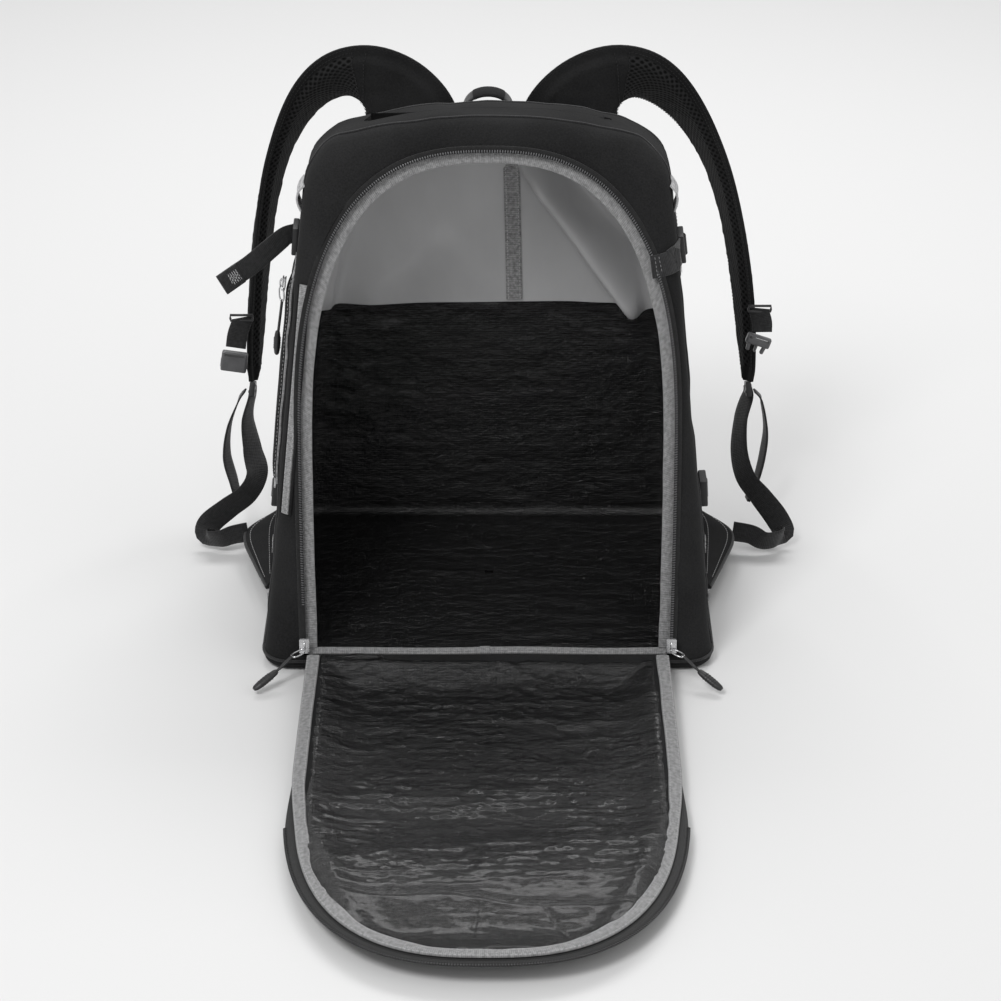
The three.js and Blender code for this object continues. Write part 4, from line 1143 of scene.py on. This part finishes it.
def build_strap_end(name, side):
    body = f"strap_{name}"
    strip, length = webbing(f"strap_webbing_{name}", WEBBING_ROUTES[name], side)[:2]
    bend(strip, body, "bag", (0, 120, 0), (0, 78, 0), "webbing", f"strap_webbing_{name}")
    tail, tail_length, tail_route, tail_out, tail_face = webbing(f"webbing_tail_{name}", TAIL_ROUTES[name],
            side)
    finish(tail, body, "webbing", f"webbing_tail_{name}")
    fold = band(f"tail_fold_{name}", tail_route[-12:, :3] + tail_face[-12:] * 1.7, tail_out[-12:],
                tail_face[-12:], tail_route[-12:, 3], 1.4)
    finish(fold, body, "webbing")
    zig = [tail_route[k, :3] + tail_face[k] * 2.6 + tail_out[k] * (6 if j % 2 else -6) for j,
           k in enumerate(range(-11, -4))]
    finish(stitches(f"tail_stitching_{name}", zig, tail_face[-6], length=2.6, gap=0.8), body, "light_tab")
    last = PAD_ROUTES[name][-1]
    top = np.array([last[0], last[1] - 3, last[2] - 1.5], float)
    low = np.array([last[0] + side, last[1] - 8, last[2] - 13], float)
    down = unit(low - top)
    across = unit(np.array([0.0, -1, 0]) - down * np.dot(down, [0, -1, 0]))
    thick = np.cross(down, across)
    middle = (top + low) / 2
    lock = block(f"ladder_lock_{name}", middle, [across, down, thick], (31, 15, 5.5), bevel=1.4,
                 cuts=[((0, -3.4, 0), (23, 2.4, 12)), ((0, 2.2, 0), (23, 2.8, 12))])
    finish(lock, body, "black_plastic", f"ladder_lock_{name}")
    bar = block(f"ladder_bar_{name}", middle + thick * 2.6 + down * 2.5, [across, down, thick],
                (29, 3.0, 2.2), bevel=0.8)
    finish(bar, body, "black_plastic")


STERNUM = {
    "left": {"hang": (-245, 161, 214), "turn": (-252, 160, 186), "tip": (-257, 160, 152)},
    "right": {"hang": (268, 161, 224), "turn": (271, 158, 204), "tip": (262, 157, 178)},
}


def build_sternum(name, side):
    """Half a chest buckle on its short webbing: a socket on one strap, the prongs on the other."""
    s = STERNUM[name]
    body = f"sternum_{name}"
    hang, turn, tip = (np.array(s[k], float) for k in ("hang", "turn", "tip"))
    rows = [[*(hang + (0, 1, 4)), 20, 10], [*hang, 20, 10],
            [*((hang + turn) / 2 + (side * 1.2, 0, 0)), 20, 5], [*turn, 20, 0]]
    strip, length = webbing(f"sternum_webbing_{name}", rows, side, count=30)[:2]
    finish(strip, body, "webbing", f"sternum_webbing_{name}")
    corners = ((-11, 3), (-11, 7), (11, 7), (11, 3), (11, 1), (-11, 1))
    wire = [hang + np.array([a, 0, b]) for a, b in corners]
    loop = tube(f"sternum_loop_{name}", wire, 1.3, closed=True)
    finish(loop, body, "black_plastic")
    down = unit(tip - turn)
    across = unit(np.array([1.0, 0, 0]) - down * down[0])
    thick = np.cross(down, across)
    centre = turn + (tip - turn) * 0.45
    long = float(np.linalg.norm(tip - turn)) * 0.62
    if name == "left":
        shell = block(f"sternum_buckle_{name}", centre, [across, down, thick], (26, long, 7.5), bevel=2.6,
                      segments=4,
                      cuts=[((0, -long / 2 + 3, 0), (20, 2.6, 14)), ((0, long / 2 - 1, 0), (18, 5, 4.2))])
        parts = [shell]
        for k in (-1, 1):
            parts.append(block("notch", centre + across * k * 12.2 + down * 2, [across, down, thick],
                               (2.4, 9, 5.2), bevel=1))
    else:
        shell = block(f"sternum_buckle_{name}", centre - down * long * 0.16, [across, down, thick],
                      (25, long * 0.62, 6.5), bevel=2.2, segments=4,
                      cuts=[((0, -long * 0.31 + 3.4, 0), (20, 2.6, 14))])
        parts = [shell]
        for k in (-1, 0, 1):
            wide = 3.6 if k else 2.6
            lean = unit(down + across * k * -0.12)
            parts.append(block("prong", centre + across * k * 7.6 + down * long * 0.32,
                               [unit(np.cross(lean, thick)) * -1, lean, thick], (wide, long * 0.5,
                    4.2), bevel=1.2))
    finish(joined(f"sternum_buckle_{name}", parts), body, "grey_plastic", f"sternum_buckle_{name}")


# ---------------------------------------------------------------- fittings
def hugging(tree, name, side, rows):
    """Webbing sewn along a side panel through (y, z) points, following the cloth."""
    route = smooth_route([[y, z, 0] for y, z in rows], 40)
    places, normals = zip(*[on_side(tree, side, y, z, 0.9) for y, z, _ in route])
    places = smooth_route(np.array(places), 40)
    along = direction(places)
    normals = np.array(normals)
    strip = band(name, places, np.cross(along, normals), normals, WEBBING_WIDTH, 1.6)
    return strip, places


def box_stitch(name, tree, side, y, z, half_y, half_z, lift=2.7):
    """A sewn rectangle with a cross in it."""
    corners = [(-1, -1), (1, -1), (1, 1), (-1, 1), (-1, -1), (1, 1), (1, -1), (-1, 1)]
    points, normals = [], []
    for (a, b), (c, d) in zip(corners, corners[1:]):
        for t in np.linspace(0, 1, 8, endpoint=False):
            place, normal = on_side(tree, side, y + (a + (c - a) * t) * half_y, z + (b + (d - b) * t)
                                    * half_z, lift)
            points.append(place)
            normals.append(normal)
    return finish(stitches(name, points, normals), "bag", "light_tab")


def backwards(normal):
    """The way to the back of the bag, along a side panel."""
    return unit(np.array([0.0, 1, 0]) - normal * normal[1])


def side_frame(tree, side, y, z, lift):
    place, normal = on_side(tree, side, y, z, lift)
    back = backwards(normal)
    return place, [back, np.cross(normal, back), normal]


def build_compression(tree, name, side):
    upper = UPPER_STRAP_Z - (8 if side > 0 else 0)
    for level, z in (("upper", upper), ("lower", LOWER_STRAP_Z)):
        y1 = 34 if level == "upper" else 32
        far = float(back_y(z)) - 30
        strip, places = hugging(tree, f"{level}_webbing_{name}", side,
                                [(y1 - 16, z), ((y1 + far) / 2, z + 1), (far, z)])
        finish(strip, "bag", "webbing", f"{level}_webbing_{name}")
        box_stitch(f"{level}_bartack_{name}", tree, side, far - 9, z, 6, 7)
        place, axes = side_frame(tree, side, (6 + y1) / 2 - 3, z, 4.6)
        thick = 5.6 if level == "upper" else 7.5
        place = place + axes[2] * (thick - 5) / 2
        cuts = [((-7, 0, 0), (3.0, 21, 14)), ((2, 0, 0), (3.4, 21, 14)), ((9.5, 0, 0), (2.6, 21, 14))]
        buckle = block(f"{level}_buckle_{name}", place, axes, (26, 27, thick), bevel=1.6, cuts=cuts)
        finish(buckle, "bag", "black_plastic", f"{level}_buckle_{name}")
        if level == "upper" and side < 0:
            continue
        wrap = [place + axes[0] * a + axes[2] * b for a,
                b in ((15, -3.2), (10, -2.6), (6.5, -0.5), (5.6, 2.4), (3, 3.9), (-1, 3.9), (-3.4, 1.5),
                      (-4.6, -2.2))]
        wrap = smooth_route(np.array(wrap), 30)
        normals = unit(np.cross(np.gradient(wrap, axis=0), axes[1])) * -1
        finish(band(f"{level}_wrap_{name}", wrap, axes[1], normals, 19, 1.3), "bag", "webbing")
    front = upper - (0 if side > 0 else 6)
    y0 = float(front_y(front)) + 33
    strip, places = hugging(tree, f"front_webbing_{name}", side,
                            [(y0, front - 8), ((y0 + 4) / 2, front - 3), (2, front)])
    finish(strip, "bag", "webbing", *(["front_webbing_right"] if side > 0 else []))
    box_stitch(f"front_bartack_{name}", tree, side, y0 + 9, front - 7, 5, 7)
    y0 = float(front_y(LOWER_STRAP_Z)) + 33
    strip, places = hugging(tree, f"low_front_webbing_{name}", side,
                            [(y0, 100), ((y0 + 2) / 2, 103), (0, LOWER_STRAP_Z)])
    finish(strip, "bag", "webbing")
    box_stitch(f"low_front_bartack_{name}", tree, side, y0 + 9, 100.5, 5, 7)


def facing_strip(name, slot, centre, normals, width, thick, bulge=0.2):
    """A strip sewn flat on the cloth along its middle line."""
    along = direction(centre)
    return finish(band(name, centre, np.cross(along, normals), normals, width, thick, bulge=bulge), "bag",
                  slot)


def build_corner_trims(tree):
    """Trims on the rounded front corners: the pocket's grey facing, left, and a strap's anchor, right."""
    zs = np.linspace(146, 348, 90)
    met = [hit(tree, (-(float(half_width(z)) - 11), -600, z), (0, 1, 0)) for z in zs]
    places = smooth_route(np.array([p for p, _ in met]), 90)
    normals = np.array([n if n[1] < 0 else -n for _, n in met])
    centre = places + normals * 1.2
    facing_strip("pocket_facing", "grey_binding", centre, normals, 8.5, 1.8, bulge=0.4)
    across = np.cross(direction(centre), normals)
    for k, offset in enumerate((-2.9, 2.9)):
        finish(stitches(f"pocket_facing_stitching_{k}", centre + across * offset + normals * 1.15, normals),
               "bag", "light_tab")
    for k, offset in enumerate((-6.2, 6.2)):
        finish(tube(f"pocket_facing_welt_{k}", centre + across * offset - normals * 0.4, 1.2), "bag",
               "pack_cloth")
    z = 368.0
    half, front = float(half_width(z)), float(front_y(z))
    met = [hit(tree, (half - k, -600, z - 0.12 * k), (0, 1, 0)) for k in np.linspace(27, 5, 12)]
    met += [on_side(tree, 1, front + k, z + 1) for k in (9, 14, 20, 26, 32)]
    places = smooth_route(np.array([p for p, _ in met]), 40)
    normals = np.array([n if n[1] < 0.3 else -n for _, n in met])
    normals = unit(resample(np.linspace(0, 1, 40), np.linspace(0, 1, len(met)), normals))
    centre = places + normals * 1.3
    anchor = facing_strip("corner_webbing_right", "webbing", centre, normals, 21, 1.8)
    across = np.cross(direction(centre), normals)
    for k in (3, 6):
        line = np.array([centre[k] + normals[k] * 1.3 + across[k] * a for a in np.linspace(-9, 9, 16)])
        finish(stitches(f"corner_webbing_stitching_{k}", line, normals[k]), "bag", "grey_binding")


def build_loose_strap():
    rows = [[-178, 25, 367, 20, 6], [-187, 18, 366, 20, 6], [-201, 4, 359, 20, 4], [-216, -8, 350, 20, 2],
            [-230, -17, 343, 20, 0], [-243, -24, 336, 20, 0]]
    strip, length, route, out, face = webbing("loose_webbing_left", rows, -1)
    finish(strip, "loose_strap", "webbing", "loose_webbing_left")
    fold = band("loose_fold", route[-22:, :3] + face[-22:] * 1.7, out[-22:], face[-22:], 20, 1.5)
    finish(fold, "loose_strap", "webbing")
    zig = [route[k, :3] + face[k] * 2.7 + out[k] * (6 if j % 2 else -6) for j,
           k in enumerate(range(-20, -9))]
    finish(stitches("loose_stitching", zig, face[-9], gap=0.8), "loose_strap", "light_tab")


def pocket_bulge(y, z):
    """How far the stuffed side pocket stands out from the side panel."""
    near, far = float(front_y(z)) + 26, float(back_y(z)) - 34
    return float(6 * ease((y - near) / 26) * ease((far - y) / 60) * ease((z - 138) / 40)
                 * ease((353 - z) / 30))


def on_pocket(tree, y, z, lift=0.0):
    return on_side(tree, -1, y, z, lift + pocket_bulge(y, z))


def build_pocket(tree):
    """The long side pocket: its stuffed panel, a grey trim, its own zip and a welt behind it."""
    zs = np.linspace(160, 342, 90)
    rows = []
    for z in np.linspace(134, 354, 60):
        ys = np.linspace(float(front_y(z)) + 24, float(back_y(z)) - 32, 44)
        rows.append([on_pocket(tree, y, z, 0.5)[0] for y in ys])
    grid = np.array(rows)
    flat = grid.reshape(-1, 3)
    grid[..., 0] -= (0.9 * (noise(flat, (40, 34, 30), 101) + 0.6 * noise(flat, (20, 14, 12),
            102))).reshape(grid.shape[:2]) * 0.8
    if surface_normals(grid)[9, 9][0] > 0:
        grid = grid[:, ::-1]
    finish(sheet_solid("side_pocket_panel", grid, 1.2), "bag", "pack_cloth")

    def lay_strip(name, near, far, lift, thick, slot, *nodes):
        middle = [on_pocket(tree, float(front_y(z)) + (near + far) / 2, z, lift) for z in zs]
        places, normals = np.array([m[0] for m in middle]), np.array([m[1] for m in middle])
        along = direction(places)
        piece = band(name, places, np.cross(along, normals), normals, far - near, thick, bulge=0.2)
        finish(piece, "bag", slot, *nodes)

    lay_strip("pocket_trim", 31, 42, 1.0, 1.8, "grey_binding", "pocket_trim")
    lay_strip("pocket_zip", 42.6, 52, 0.8, 1.3, "zip_tape", "pocket_zip")
    lay_strip("pocket_welt", 52, 57, 1.2, 2.2, "pack_cloth")
    for k, offset in enumerate((33, 40.4)):
        line = [on_pocket(tree, float(front_y(z)) + offset, z, 2.1) for z in zs]
        finish(stitches(f"pocket_stitching_{k}", [p for p, _ in line], [n for _, n in line]), "bag",
               "light_tab")
    ends = [on_pocket(tree, float(front_y(z)) + 44, z, 1.5) for z in (158, 344)]
    for k, (place, normal) in enumerate(ends):
        back = backwards(normal)
        tack = block(f"pocket_bartack_{k}", place, [back, np.cross(normal, back), normal], (22, 3, 2),
                     bevel=0.8)
        finish(tack, "bag", "light_tab")
    vertices, faces = [], []
    for z in np.arange(162, 322, 2.2):
        place, normal = on_pocket(tree, float(front_y(z)) + 47.3, z, 1.7)
        back = backwards(normal)
        up = np.cross(normal, back)
        base = len(vertices)
        for a, h in ((-2.1, 0.2), (-1.2, 1), (1.2, 1), (2.1, 0.2)):
            for i, j in ((-1, -1), (-1, 1), (1, 1), (1, -1)):
                vertices.append(place + back * a + up * i * 0.55 + normal * (j * 0.4 + h * 0.5))
        faces += link_faces(base)
    finish(face_out(make_object("pocket_coil", vertices, faces, angle=70)), "bag", "black_plastic")
    place, axes = side_frame(tree, -1, float(front_y(332)) + POCKET_ZIP_IN, 332, POCKET_SLIDER_LIFT)
    down = -axes[1] if axes[1][2] > 0 else axes[1]
    slider = slider_body("pocket_slider_body", place, [axes[0], down, axes[2]], (8.5, 12, 4.0))
    finish(slider, "pocket_slider", "zip_metal", "pocket_slider")
    y = float(front_y(324)) + POCKET_ZIP_IN
    x = -(float(half_width(324)) + POCKET_SLIDER_LIFT)
    centre = np.array([x, y, 324.0])
    ring = oval(centre, unit(np.array([-0.7, 0.7, 0])), np.array([0.0, 0, -1]), 3.2, 6.8)
    finish(tube("pocket_ring", ring, 0.8, closed=True), "pocket_pull", "zip_metal", "pocket_ring")
    hang = [(-(float(half_width(z)) + 9.6 + (318 - z) * 0.05), y, z) for z in (318, 312, 304, 294, 284)]
    hang = smooth_route(np.array(hang), 40)
    cord = finish(tube("pocket_cord", hang, 1.3), "pocket_pull", "black_plastic")
    start, end = (np.array([-(float(half_width(284)) + out), y, z]) for out,
                  z in ((11.6, 286.5), (13.4, 263.0)))
    grip = finish(joined("pocket_grip", moulded_grip(start, end, np.array([0.0, 1, 0]))), "pocket_pull",
                  "black_plastic",
                  "pocket_pull_cord")


def oval(centre, across, along, half_wide, half_long, count=36):
    angles = np.linspace(0, 2 * np.pi, count, endpoint=False)
    soft = lambda v: np.sign(v) * np.abs(v) ** 0.75
    return np.array([centre + across * soft(math.cos(a)) * half_wide + along * soft(math.sin(a))
                     * half_long for a in angles])


def slider_body(name, centre, axes, size):
    """A zip slider: two plates joined by a bridge, with a bail on top for the pull."""
    w, l, h = size
    parts = [block(name, centre + axes[2] * h * 0.28, axes, (w, l, h * 0.34), bevel=0.7),
             block("under", centre - axes[2] * h * 0.28, axes, (w * 0.92, l * 0.96, h * 0.3), bevel=0.6),
             block("bridge", centre - axes[1] * l * 0.3, axes, (w * 0.36, l * 0.3, h * 0.7), bevel=0.4)]
    arch = [centre + axes[1] * l * a + axes[2] * h * b for a,
            b in ((-0.34, 0.3), (-0.3, 0.62), (-0.12, 0.86), (0.12, 0.86), (0.3, 0.62), (0.34, 0.3))]
    parts.append(tube("bail", smooth_route(np.array(arch), 16), 0.9))
    return joined(name, parts)


def moulded_grip(start, end, across):
    """A ribbed grip, as parts to be joined."""
    along = unit(end - start)
    wide = unit(across - along * np.dot(across, along))
    thick = np.cross(along, wide)
    long = float(np.linalg.norm(end - start))

    def ring(t, a, b):
        return [start + along * long * t + wide * a * math.cos(k) + thick * b * math.sin(k)
                for k in np.linspace(0, 2 * np.pi, 20, endpoint=False)]

    rows = ((0, 2.2), (0.04, 3.0), (0.12, 3.5), (0.3, 4.0), (0.55, 4.2), (0.8, 3.9), (0.94, 3.2), (1, 2.0))
    parts = [swept("grip", [ring(t, w, w * 0.72) for t, w in rows], angle=50)]
    return parts + [tube("rib", ring(t, 4.1, 3.0), 0.45, sides=6, closed=True)
                    for t in (0.3, 0.4, 0.5, 0.6, 0.7)]


def pull_cord(name, route, grip_start, grip_end, across):
    """A doubled cord knotted through a ring, with a moulded grip on its end."""
    route = smooth_route(np.array(route), 26)
    spread = np.sin(np.linspace(0.5, np.pi, 26))[:, None] * across * 0.9
    parts = [tube("strand", route + spread * k, 1.0) for k in (-1, 1)]
    return joined(f"{name}_pull_cord_and_grip", parts + moulded_grip(grip_start, grip_end, across))


def build_main_slider(name, side):
    x = side * (OPENING_FOOT + 1.5)
    a, b = on_front(x, 3, -4.4), on_front(x, 17, -4.4)
    up = unit(b - a)
    across = np.array([1.0, 0, 0])
    out = np.cross(across, up)
    slider = slider_body(f"main_slider_{name}_body", (a + b) / 2, [across, up, out], (9.6, 13.6, 5.2))
    finish(slider, f"slider_{name}", "zip_metal", f"main_slider_{name}")
    head = on_front(x, 7, -9.2)
    reach = unit(np.array([side * 0.78, -0.6, -0.12]))
    wide = unit(np.cross(reach, [0, 0, 1]))
    ring = oval(head + reach * 7, wide, reach, 3.5, 6.6)
    finish(tube(f"slider_ring_{name}_wire", ring, 0.85, closed=True), f"pull_{name}", "zip_metal",
           f"slider_ring_{name}")

    def at(t, drop):
        p = head + reach * t
        return np.array([p[0], p[1], max(p[2] - drop, 4.2)])

    route = [at(12.2, 0), at(14.8, 0.4), at(20, 2.5), at(26, 5), at(33, 7.5)]
    pull = pull_cord(f"main_{name}", route, at(31, 7), at(57, 14), wide)
    finish(pull, f"pull_{name}", "black_plastic", f"pull_cord_{name}")


def build_tabs(tree):
    for name, side in SIDES:
        for level, (y0, y1, z0, z1) in (("top", (-6, 21, 400, 426)), ("base", (-44, -17, 13, 27))):
            zs = np.linspace(z0, z1, 14)
            rows = []
            for z in zs:
                rows.append([on_side(tree, side, y, z, 2.0 + (4.5 if z0 > 300 else 2.0)
                                     * math.sin(math.pi * (z - z0) / (z1 - z0)) + 0.5 * math.sin(y
                        * 0.4))[0] for y in np.linspace(y0, y1, 12)])
            grid = np.array(rows)
            if surface_normals(grid)[5, 5][0] * side < 0:
                grid = grid[:, ::-1]
            tab = sheet_solid(f"{level}_tab_{name}", grid, 1.6)
            finish(tab, "bag", "light_tab", f"{level}_tab_{name}")
            for k, z in enumerate((zs[2], zs[-3])):
                line = [on_side(tree, side, y, z, 4.6 if z0 > 300 else 3.4)
                        for y in np.linspace(y0 + 1.5, y1 - 1.5, 12)]
                finish(stitches(f"{level}_tab_stitching_{name}_{k}", [p for p, _ in line], [n
                        for _, n in line]), "bag", "grey_binding")


def build_wing(name, side):
    rows = smooth_route([[y, r, 0] for y, r in ((-42, 4), (10, 20), (58, 33), (84, 30), (108, 6))], 40)
    rings = []
    for y, reach, _ in rows:
        root = half_width(30) + 0.4
        puff = 1.0 + 0.5 * noise(np.array([[y, reach, 0]]), 14, 81)[0]
        ring = []
        for t in np.linspace(0, 1, 9):
            ring.append((side * (root + reach * t), y, 34 - (4 + reach * 0.2) * t + puff
                         * math.sin(math.pi * t)))
        for t in np.linspace(1, 0, 9):
            ring.append((side * (root + reach * t), y, 28 - (1.5 + reach * 0.2) * t - puff * 0.6
                         * math.sin(math.pi * t)))
        rings.append(ring)
    wing = swept(f"anchor_wing_{name}", np.array(rings), angle=50)
    finish(wing, "bag", "pack_cloth", f"anchor_wing_{name}")
    edge = [(side * (half_width(30) + r + 0.3), y, 28.4 - r * 0.2) for y, r, _ in rows]
    finish(tube(f"wing_binding_{name}", edge, 2.0), "bag", "webbing")
    for k, share in enumerate((0.86, 0.28)):
        line = [(side * (half_width(30) + r * share), y, 34.6 - (4 + r * 0.2) * share + 0.7
                 * math.sin(math.pi * share)) for y, r, _ in rows[4:-4]]
        finish(stitches(f"wing_stitching_{name}_{k}", line, (0, 0, 1)), "bag", "light_tab")


def build_haul_loop():
    angles = np.linspace(np.pi, 0, 50)
    pts = np.array([[23 * math.cos(a), 124, 446 + 22 * max(math.sin(a), 0) ** 0.8] for a in angles])
    pts = np.vstack([[-23, 124, 438], pts, [23, 124, 438]])
    up = unit(pts - np.array([0, 124, 440]))
    loop = band("haul_loop_webbing", pts, (0, 1, 0), up, 22, 2.2)
    finish(loop, "haul", "webbing", "haul_loop")
    grip = pts[16:37]
    rings = []
    for p, u in zip(grip, up[16:37]):
        rings.append([p + np.array([0, 1, 0]) * 11.4 * math.cos(a) + u * 3.2 * math.sin(a)
                      for a in np.linspace(0, 2 * np.pi, 20, endpoint=False)])
    finish(swept("haul_grip", rings), "haul", "pack_cloth")


# ---------------------------------------------------------------- back cushions
CHANNEL_PITCH = 54.0


def cushion(name, x0, x1, z0, z1, *nodes):
    """A stuffed cushion on the back panel: two cloths sewn at the edge and blown up by the simulation."""
    nx, nz = int((x1 - x0) / 4.5), int((z1 - z0) / 4.5)
    xs, zs = np.linspace(x0, x1, nx), np.linspace(z0, z1, nz)
    corner = 16
    grid_x, grid_z = np.meshgrid(xs, zs)
    cx, cz = np.clip(grid_x, x0 + corner, x1 - corner), np.clip(grid_z, z0 + corner, z1 - corner)
    dx, dz = grid_x - cx, grid_z - cz
    reach = np.maximum(np.abs(dx), np.abs(dz))
    shrink = np.where(reach > 0, reach / np.maximum(np.hypot(dx, dz), 1e-6), 1)
    grid_x, grid_z = cx + dx * shrink, cz + dz * shrink
    edge = np.minimum(np.minimum(grid_x - x0, x1 - grid_x), np.minimum(grid_z - z0, z1 - grid_z))
    lift = 2.0 + 5.5 * ease(np.maximum(edge, 0) / 14)
    flat = np.column_stack([grid_x.ravel(), grid_z.ravel() * 0, grid_z.ravel()])
    lift = lift + (0.6 * noise(flat, (26, 20, 30), 91)).reshape(lift.shape) * (edge > 6)
    rear = np.stack([grid_x, back_y(grid_z) + lift, grid_z], axis=-1)
    front = np.stack([grid_x, back_y(grid_z) - 0.6, grid_z], axis=-1)
    vertices = np.concatenate([rear.reshape(-1, 3), front.reshape(-1, 3)])
    faces, uvs = [], []
    half = nx * nz

    def quad(*ids):
        faces.append(ids)
        uvs.extend((vertices[k][0], vertices[k][2]) for k in ids)

    for r in range(nz - 1):
        for c in range(nx - 1):
            a = r * nx + c
            quad(a + 1, a, a + nx, a + nx + 1)
            quad(half + a, half + a + 1, half + a + nx + 1, half + a + nx)
    rim = list(range(nx)) + [r * nx + nx - 1 for r in range(1, nz)]
    rim += [(nz - 1) * nx + c for c in range(nx - 2, -1, -1)] + [r * nx for r in range(nz - 2, 0, -1)]
    for a, b in zip(rim, rim[1:] + rim[:1]):
        quad(a, b, half + b, half + a)
    obj = face_out(make_object(name, vertices, faces, np.array(uvs) * MM, 60))
    channels = (np.abs((vertices[:, 2] - z0) % CHANNEL_PITCH - CHANNEL_PITCH / 2) > 24.4) & (z1
            - z0 > 150)
    sewn = set(rim)
    inflate(obj, [i for i in range(len(vertices)) if i >= half or i in sewn or channels[i]])
    finish(obj, "bag", "air_mesh", *nodes)


def inflate(obj, pinned):
    """Blows a closed cloth up from inside while its sewn lines stay where they are."""
    group = obj.vertex_groups.new(name="sewn")
    group.add([int(i) for i in pinned], 1.0, "REPLACE")
    cloth = obj.modifiers.new("cloth", "CLOTH")
    settings = cloth.settings
    settings.quality = 5
    settings.mass = 0.2
    settings.tension_stiffness = settings.compression_stiffness = 25
    settings.shear_stiffness = 8
    settings.bending_stiffness = 0.6
    settings.use_pressure = True
    settings.uniform_pressure_force = 9
    settings.vertex_group_mass = "sewn"
    settings.pin_stiffness = 1
    settings.effector_weights.gravity = 0
    cloth.collision_settings.use_collision = False
    scene = bpy.context.scene
    for number in range(1, 19):
        scene.frame_set(number)
    apply_modifiers(obj)
    scene.frame_set(1)
    obj.vertex_groups.clear()
    smooth_faces(obj)


def build_back():
    for name, x0, x1, z0, z1 in (("back_pad_left", -130, -12, 130, 400),
                                 ("back_pad_right", 12, 130, 130, 400), ("lumbar_pad", -130, 130, 30, 118)):
        cushion(name, x0, x1, z0, z1, name)
        corner = 12
        loop = []
        for cx, cz, start in ((x1 - corner, z0 + corner, -90), (x1 - corner, z1 - corner, 0),
                              (x0 + corner, z1 - corner, 90), (x0 + corner, z0 + corner, 180)):
            for a in np.radians(np.linspace(start, start + 90, 8)):
                loop.append((cx + corner * math.cos(a), cz + corner * math.sin(a)))
        loop = np.array(loop + loop[:1])
        dense = smooth_loop(loop)
        pts = np.array([(x, back_y(z) + 1.2, z) for x, z in dense])
        finish(tube(f"{name}_piping", pts, 1.6, closed=True), "bag", "webbing")


def smooth_loop(loop, step=4.0):
    along = travelled(loop)
    at = np.arange(0, along[-1] - step / 2, step)
    return resample(at, along, loop)


# ---------------------------------------------------------------- main
add_camera()
add_stage()
SHELL = build_shell()
build_seams(SHELL)
build_lining()
build_mouth()
build_flap()
build_pocket(SHELL)
build_corner_trims(SHELL)
build_loose_strap()
build_tabs(SHELL)
build_haul_loop()
for NAME, SIDE in SIDES:
    build_strap(NAME, SIDE)
    build_sternum(NAME, SIDE)
    build_compression(SHELL, NAME, SIDE)
    build_main_slider(NAME, SIDE)
    build_wing(NAME, SIDE)
build_back()
